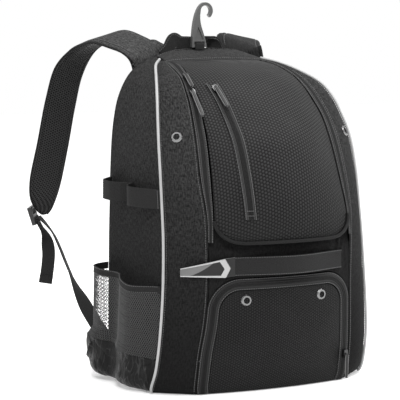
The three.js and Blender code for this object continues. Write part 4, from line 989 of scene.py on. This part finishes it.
def build_back_padding():
    """The back panel's pad, sewn down all round, along two channels and across in rungs."""
    t = column_of(0.02, 1, 90)
    seam_line = back_seam(t[:, 0])
    across = row_of(-1, 1, 71)
    out = np.abs(across)
    lift = smoothstep(0, 0.08, 1 - out) * smoothstep(0, 0.05, t - 0.02) * smoothstep(0, 0.04, 1 - t)
    channels = 1 - np.exp(-((out - 0.28) / 0.035) ** 2)
    rungs = 1 - 0.8 * np.exp(-((np.mod(t * 5, 1) - 0.5) / 0.06) ** 2)
    puff = (BACK_PROUD - 1.5) * lift * (0.35 + 0.65 * channels * rungs)
    height = np.maximum(seam_line[:, 2:], 3.5)
    rise = (1 - out ** 3) * (BODY_HEIGHT - seam_line[-1, 2]) * smoothstep(0.9, 1, t)
    grid = np.stack([across * (seam_line[:, :1] - 2), BACK_PLANE + 1 + puff, height + rise], -1)
    piece = skin("back_padding", grid[:, ::-1], 2.5)
    finish_piece(piece, spacer_mesh, ["back_panel"])


def cup_top(share):
    return CUP_HEIGHT + CUP_RISE * share


def hem_foot(share):
    in_front = np.sin(math.pi * np.minimum(1, share / 0.56)) ** 2
    return HEM_HEIGHT - HEM_BAND + 14 * share - 5 * in_front


def sleeve_grid(low, high, count, shares, thickness, extra=0.0):
    """The sleeve's outside between two heights that vary with the share from the piping back."""
    bulge = lookup(LOBE_ROWS)((shares - SLEEVE_FROM) / (SLEEVE_TO - SLEEVE_FROM))
    bulge[[0, -1]] = 0
    top = cup_top(shares)
    grid = []
    for t in np.linspace(0, 1, count):
        z = lerp(low, high, t)
        filled = np.clip((z - 1 - 2 * shares) / 22, 0, 1)
        towards_top = lerp(0.5, 1, np.clip(z / top, 0, 1))
        flare = CUP_FLARE * shares ** 2 * towards_top * np.clip((top + 12 - z) / 12, 0, 1)
        full = POCKET_BULGE * bulge + flare * np.minimum(1, 4 * bulge)
        at = side_at(shares, z)
        at[:, 0] += 0.5 + thickness + full * (filled * (2 - filled)) ** 0.35 + extra
        grid.append(at)
    return np.array(grid)


def build_sleeves():
    """The gathered cup, the net above it and the hem of webbing, as one surface in three pieces."""
    shares = lerp(SLEEVE_FROM, SLEEVE_TO, np.linspace(0, 1, 131))
    top, foot = cup_top(shares), hem_foot(shares)
    cup = sleeve_grid(3 + 2 * shares, top, 56, shares, CUP_WALL)
    net_ground = sleeve_grid(top + CLEARANCE, foot + 0.5, 40, shares, CUP_WALL)
    hem = sleeve_grid(foot, foot + HEM_BAND, 12, shares, 2, CLEARANCE)
    level, across = column_of(0, 1, 56), row_of(0, 1, 131)
    creased = folds(across, level, 15, 21, 0.018, 3.6, 2.4) + folds(across, level, 7, 5, 0.045, 4.0, 1.6)
    ends = smoothstep(0, 0.04, across) * smoothstep(0, 0.04, 1 - across)
    creased *= np.sin(math.pi * lerp(0.06, 0.97, level)) ** 0.5 * ends
    both("sleeve_cup", cup, CUP_WALL, cup_nylon, "pocket_cup", creased)
    ribs = 0.25 * np.sin(column_of(0, 1, 12) * 8 * math.pi) + 0 * across
    both("sleeve_hem", hem, 2, webbing, "pocket_hem", ribs)
    face = normals(hem)
    both_sewn("sleeve_hem_stitch", [(hem[k, 3:-3], face[k, 3:-3]) for k in (1, -2)])
    for word, ground in (("right", net_ground), ("left", mirror(net_ground))):
        finish_piece(net(f"sleeve_net_{word}", ground), net_cord, [f"mesh_pocket_{word}"])


def build_elastic():
    """The elastic band on each side, sewn down in the middle and at its ends into two loops."""
    share = np.linspace(ELASTIC_ROWS[0][0], ELASTIC_ROWS[-1][0], 160)
    fullness = np.maximum(0, lookup(ELASTIC_ROWS)(share))
    levels = np.linspace(0, 1, 22)
    grid = np.array([side_at(share, ELASTIC_HEIGHT + ELASTIC_WIDTH * t + 6 * share) for t in levels])
    grid[..., 0] += 2.1 + POCKET_BULGE * fullness
    gathers = 0.35 * np.sin(levels * 18 * math.pi)[:, None] + 0 * share[None]
    both("bat_elastic", grid, 1.6, strap_cloth, "elastic_strap", gathers)
    face = normals(grid)
    held = [np.argmin(np.abs(share - at)) for at in (0.035, 0.495, 0.515, 0.925)]
    both_sewn("bat_elastic_stitch", [(grid[:, k], face[:, k]) for k in held], FINE_STITCH_PITCH)


def strap_place(out, back, up):
    return np.array((out * HALF_WIDTH, BACK_PLANE + back * STRAP_REACH, up * BODY_HEIGHT))


def build_strap_pad(word, sign):
    """A padded strap: heathered outside, with a plain lining at the top of its inner face and
    spacer mesh below that, bound along both edges."""
    rows = STRAP_TOPS[word] + STRAP_REST
    t = np.linspace(0, 1, 201)
    a, b = (smooth_line([strap_place(*row[at:at + 3]) for row in rows])(t) * (sign, 1, 1) for at in (0, 3))
    middle = (a + b) / 2
    width = np.linalg.norm(b - a, axis=-1)
    angle = np.linspace(0, 2 * math.pi, 60, endpoint=False)
    across = np.sign(np.cos(angle)) * np.abs(np.cos(angle)) ** 0.35
    out = np.sign(np.sin(angle)) * np.abs(np.sin(angle)) ** 0.6
    quilt = 1 - 0.35 * np.exp(-((np.abs(across) - 0.8) / 0.05) ** 2)
    spread = across[None] * (width[:, None] / 2 - 0.8)
    section = np.stack([spread, out * quilt * (PAD_THICKNESS / 2 - 0.4) + 0 * spread], -1)
    if sign < 0:
        section = section[:, ::-1]
    pad = tube(f"strap_pad_{word}", middle, section, b - a)
    finish_piece(pad, strap_heather, [f"shoulder_pad_{word}"])
    pad.data.materials.append(spacer_mesh)
    pad.data.materials.append(lining)
    outward = sign * np.cross(unit(b - a), unit(np.gradient(middle, axis=0)))
    for face in pad.data.polygons:
        k = min(face.index // len(angle), len(t) - 2)
        if np.dot(face.normal, outward[k]) < 0.1:
            face.material_index = 2 if k < 0.42 * len(t) else 1
    for edge_word, edge in (("inner", a), ("outer", b)):
        line = lerp(edge, middle, 1.5 / np.maximum(width, 8)[:, None])
        bound = tube(f"strap_edge_{edge_word}_{word}", resample(line[:-2], 260), round_section(1.7, 10))
        finish_piece(bound, binding)
    face = outward[4:-6]
    sewn(f"strap_stitch_{word}", [(lerp(a, b, share)[4:-6] + face * (PAD_THICKNESS / 2 - 0.9), face)
                                  for share in (0.13, 0.87)])


def turning(t, first, *turns):
    """A width's direction that starts at first and turns towards others, each from a share at a rate."""
    for towards, start, rate in turns:
        first = lerp(first, np.array(towards), np.clip((t - start) * rate, 0, 1))
    return first


def build_strap_webbing():
    """The webbing below each pad: a free tail through the buckle, and a length down to the base."""
    facing, upright = unit(np.array((0.8, 0.6, -0.3))), unit(np.array((0.3, 0.13, 0.95)))
    flatways = np.cross(upright, facing)
    top = strap_place(*BUCKLE_AT) - upright * 3
    top = top - facing * (BUCKLE_THICKNESS / 2 + 2 * CLEARANCE + WEBBING_THICKNESS / 2)
    tail_line = smooth_line([top + (x, y, -TAIL_LENGTH * down) for x, y, down in TAIL_ROWS])
    tail = resample(tail_line(np.linspace(0, 1, 140)), 140)
    tail_turn = turning(column_of(0, 1, 140), flatways, ((-0.883, -0.469, 0), 0.2, 3))
    lower_line = smooth_line([strap_place(*row) for row in WEBBING_ROUTE])
    lower = resample(lower_line(np.linspace(0, 1, 600)), 260)
    lower_turn = turning(column_of(0, 1, 260), flatways, ((-0.617, 0.617, -0.49), 0, 8),
                         ((-0.68, -0.305, 0.47), 0.4, 3), ((-1.0, 0, 0), 0.82, 6))
    flat = flat_section(WEBBING_WIDTH, WEBBING_THICKNESS)
    folded = flat_section(WEBBING_WIDTH + 0.6, WEBBING_THICKNESS * 2.4)
    u, v = row_of(-1, 1, 40), column_of(-1, 1, 44)
    puffed = (1 - np.abs(u) ** 6) * (1 - np.abs(v) ** 6)
    x = lower[-1, 0] - 4 + u * (WEBBING_WIDTH / 2 + 5) + 0 * v
    y = BACK_PLANE + 0.75 * BACK_PROUD + 1.5 + 2 * CLEARANCE + puffed
    patch = np.stack([x, y, lower[-1, 2] - 8 + v * 17 + 0 * u], -1)
    for word, side in SIDES:
        for name, line, section, turn, stands_for in (
            ("webbing_tail", tail, flat, tail_turn, [f"strap_tail_{word}"]),
            ("tail_fold", tail[-17:], folded, tail_turn[-17:], []),
            ("webbing_lower", lower, flat, lower_turn, [f"lower_webbing_{word}"]),
        ):
            piece = tube(f"{name}_{word}", line * side, section, turn * side)
            finish_piece(piece, webbing, stands_for)
        piece = skin(f"anchor_patch_{word}", patch[:, ::-1] if word == "right" else patch * side, 2.4)
        finish_piece(piece, heather_cloth, [f"strap_anchor_{word}"])


def build_handle():
    back = BACK_PLANE + BACK_PROUD + CLEARANCE + HANDLE_THICKNESS / 2
    line = smooth_line([(x, back + behind, BODY_HEIGHT + lift) for x, lift, behind, _ in HANDLE_ROWS])
    t = np.linspace(0, 1, 200)
    at, across = line(t), smooth_line([turn for *_, turn in HANDLE_ROWS])(t)
    grip = tube("grab_handle", at, flat_section(HANDLE_WIDTH, HANDLE_THICKNESS), across)
    finish_piece(grip, strap_cloth, ["haul_handle"])
    face = np.cross(unit(across), unit(np.gradient(at, axis=0)))
    face = np.where(face[:, 1:2] > 0, -face, face)
    half = HANDLE_WIDTH / 2 - 2
    sewn("grab_handle_stitch", [(at + unit(across) * k * half + face * HANDLE_THICKNESS / 2, face)
                                for k in (-1, 1)])


def build_hook_loop():
    """The loop of webbing that passes over the hook's foot and holds it to the bag."""
    reach = HOOK_BASE_DEPTH / 2 + CLEARANCE + HOOK_LOOP_THICKNESS / 2
    top = HOOK_BASE_HEIGHT + CLEARANCE + HOOK_LOOP_THICKNESS / 2 + 0.2
    path = [(0, -reach, -3.4), (0, -reach, 4), (0, -reach * 0.9, top - 0.2), (0, 0, top + 0.2),
            (0, reach * 0.9, top - 0.2), (0, reach, 4), (0, reach, -1.6)]
    line = resample(smooth_line(np.array(path) + HOOK_FOOT)(np.linspace(0, 1, 80)), 80)
    section = flat_section(HOOK_LOOP_WIDTH, HOOK_LOOP_THICKNESS)
    loop = tube("hook_webbing", line, section, np.tile((1.0, 0, 0), (80, 1)))
    finish_piece(loop, webbing, ["hook_loop"])


def build_glove_strap():
    share = row_of(0, 1, 180)
    across = lerp(GLOVE_STRAP_FROM, GLOVE_STRAP_TO, share)
    h = column_of(-0.5, 0.5, 22)
    grid = front_at(across + 0 * h, GLOVE_STRAP_HEIGHT + h * GLOVE_STRAP_WIDTH)
    grid[..., 1] -= WEBBING_THICKNESS + 0.45 + 12 * np.sin(math.pi * share) ** 2
    borders = 0.5 * smoothstep(0.36, 0.4, np.abs(h)) + 0 * share
    finish_piece(skin("glove_band", grid, WEBBING_THICKNESS, borders), webbing, ["glove_strap"])
    face = normals(grid)
    sewn("glove_band_stitch", [(grid[k] + face[k] * 0.5, face[k]) for k in (1, -2)])


def build_glove_tab():
    """The pointed tab: a silver rim and chevron, a dull corner and a dark inlay."""
    s, h = row_of(0, 1, 170), column_of(-1, 1, 46)
    narrow = lerp(0.42, 1, np.clip(s * 1.25, 0, 1))
    root = front_at(GLOVE_STRAP_FROM, GLOVE_STRAP_HEIGHT)
    x = lerp(GLOVE_TAB_TIP, GLOVE_STRAP_FROM - CLEARANCE, s) + 0 * h
    y = root[1] - 4.4 + 22 * (1 - s) ** 1.6 + 0 * h
    z = GLOVE_STRAP_HEIGHT - 6 * (1 - s) + h * narrow * GLOVE_STRAP_WIDTH / 2
    chevron = 0.90 - 0.10 * np.abs(h + 0.1)
    rim = (np.abs(h) > 0.82) | (s >= chevron - 0.12)
    dull = (s < 0.16) | (h > lerp(-1.0, 1.0, np.clip((s - 0.12) / 0.5, 0, 1)))
    kind = np.select([s > chevron, rim, dull], [2, 0, 1], 2)
    relief = 0.5 * (kind == 0) - 0.3 * (kind == 2)
    tab = skin("glove_tab_face", np.stack([x, y, z], -1), GLOVE_TAB_THICKNESS, relief)
    finish_piece(tab, silver, ["glove_tab"])
    tab.data.materials.append(dull_silver)
    tab.data.materials.append(rubber)
    for k, index in enumerate(kind[:-1, :-1].ravel()):
        tab.data.polygons[k].material_index = int(index)


def build_pulls():
    """Cord pulls: a dark grip with a light cord round it, in the place of the CAD's pulls."""
    longer = {"main_pull_upper": 0, "main_pull_lower": 17, "pocket_pull": 9, "lower_pull": 0}
    angle = np.linspace(0, 2 * math.pi, 80, endpoint=False)
    rounded = np.sign(np.cos(angle)) * np.abs(np.cos(angle)) ** 0.35
    for name, extra in longer.items():
        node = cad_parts[name]
        points = np.array([node.matrix_world @ v.co for v in node.data.vertices]) * 1000
        middle = (points.max(0) + points.min(0)) / 2
        _, _, axes = np.linalg.svd(points - points.mean(0), full_matrices=False)
        length, width, thick = (np.ptp((points - middle) @ axis) for axis in axes)
        down, side = axes[0] * -np.sign(axes[0, 2]), axes[1]
        middle = middle + down * extra / 2
        length += extra
        line = middle + column_of(-0.5, 0.5, 40) * (length - 1) * down
        grip = tube(f"{name}_grip", line, flat_section(width * 0.8, thick, 0.48), np.tile(side, (40, 1)))
        finish_piece(grip, rubber, [name])
        ring = middle + np.outer(rounded * (length / 2 - 0.8), down)
        ring = ring + np.outer(np.sin(angle) * (width / 2 - 0.1), side)
        cord = tube(f"{name}_cord", ring, round_section(0.75, 8), closed=True)
        finish_piece(cord, light_cord)


def dress_hard_pieces():
    """Materials for the CAD pieces that keep their own shape."""
    looks = {"hook": plastic, "base_panel": heather_cloth}
    for word, _ in SIDES:
        looks[f"strap_buckle_{word}"] = black_plastic
        looks[f"gusset_eyelet_{word}"] = nickel
        looks[f"lower_eyelet_{word}"] = nickel
    for name in ("main_slider_upper", "main_slider_lower", "pocket_slider", "lower_slider"):
        looks[name] = gunmetal
    for name, material in looks.items():
        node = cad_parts[name]
        node.data.materials.clear()
        node.data.materials.append(material)


# Stage, light and camera

def build_stage():
    mesh = bpy.data.meshes.new("floor")
    corners = [(-FLOOR, -FLOOR, 0), (FLOOR, -FLOOR, 0), (FLOOR, FLOOR, 0), (-FLOOR, FLOOR, 0)]
    mesh.from_pydata(corners, [], [(0, 1, 2, 3)])
    floor = bpy.data.objects.new("floor", mesh)
    bpy.context.scene.collection.objects.link(floor)
    floor.location.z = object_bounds()[0].z - 0.0005
    paint = plain("pale_floor", 0.88, 0.8)
    glow = paint.node_tree.nodes["Principled BSDF"].inputs
    glow["Emission Color"].default_value = (1, 1, 1, 1)
    glow["Emission Strength"].default_value = 0.22
    floor.data.materials.append(paint)

    world = bpy.data.worlds.new("soft_sky")
    bpy.context.scene.world = world
    world.use_nodes = True
    world.node_tree.nodes["Background"].inputs["Color"].default_value = (1, 1, 1, 1)
    world.node_tree.nodes["Background"].inputs["Strength"].default_value = 1.0
    bpy.context.scene.view_settings.view_transform = "Standard"
    for name, spot, aim, size, power in LIGHTS:
        light = bpy.data.lights.new(name, "AREA")
        light.energy, light.size = power, size
        lamp = bpy.data.objects.new(name, light)
        lamp.location = spot
        lamp.rotation_euler = (Vector(aim) - Vector(spot)).to_track_quat("-Z", "Y").to_euler()
        bpy.context.scene.collection.objects.link(lamp)


def build_camera():
    azimuth, elevation = math.radians(CAMERA_AZIMUTH), math.radians(CAMERA_ELEVATION)
    level = math.cos(elevation)
    away = Vector((math.sin(azimuth) * level, -math.cos(azimuth) * level, math.sin(elevation)))
    camera = bpy.data.objects.new("camera", bpy.data.cameras.new("camera"))
    camera.location = Vector(CAMERA_TARGET) + away * CAMERA_DISTANCE
    camera.rotation_euler = (-away).to_track_quat("-Z", "Y").to_euler()
    camera.data.lens = 171
    camera.data.sensor_width = 36
    bpy.context.scene.collection.objects.link(camera)
    bpy.context.scene.camera = camera


build_camera()
build_sides()
build_top_band()
build_back_padding()
build_recess()
build_lower_zip()
build_lower_pocket()
build_dome()
build_main_zips()
build_pocket_zip()
build_sleeves()
build_elastic()
for strap_word, strap_side in SIDES:
    build_strap_pad(strap_word, strap_side[0])
build_strap_webbing()
build_handle()
build_hook_loop()
build_glove_strap()
build_glove_tab()
build_pulls()
dress_hard_pieces()
build_stage()
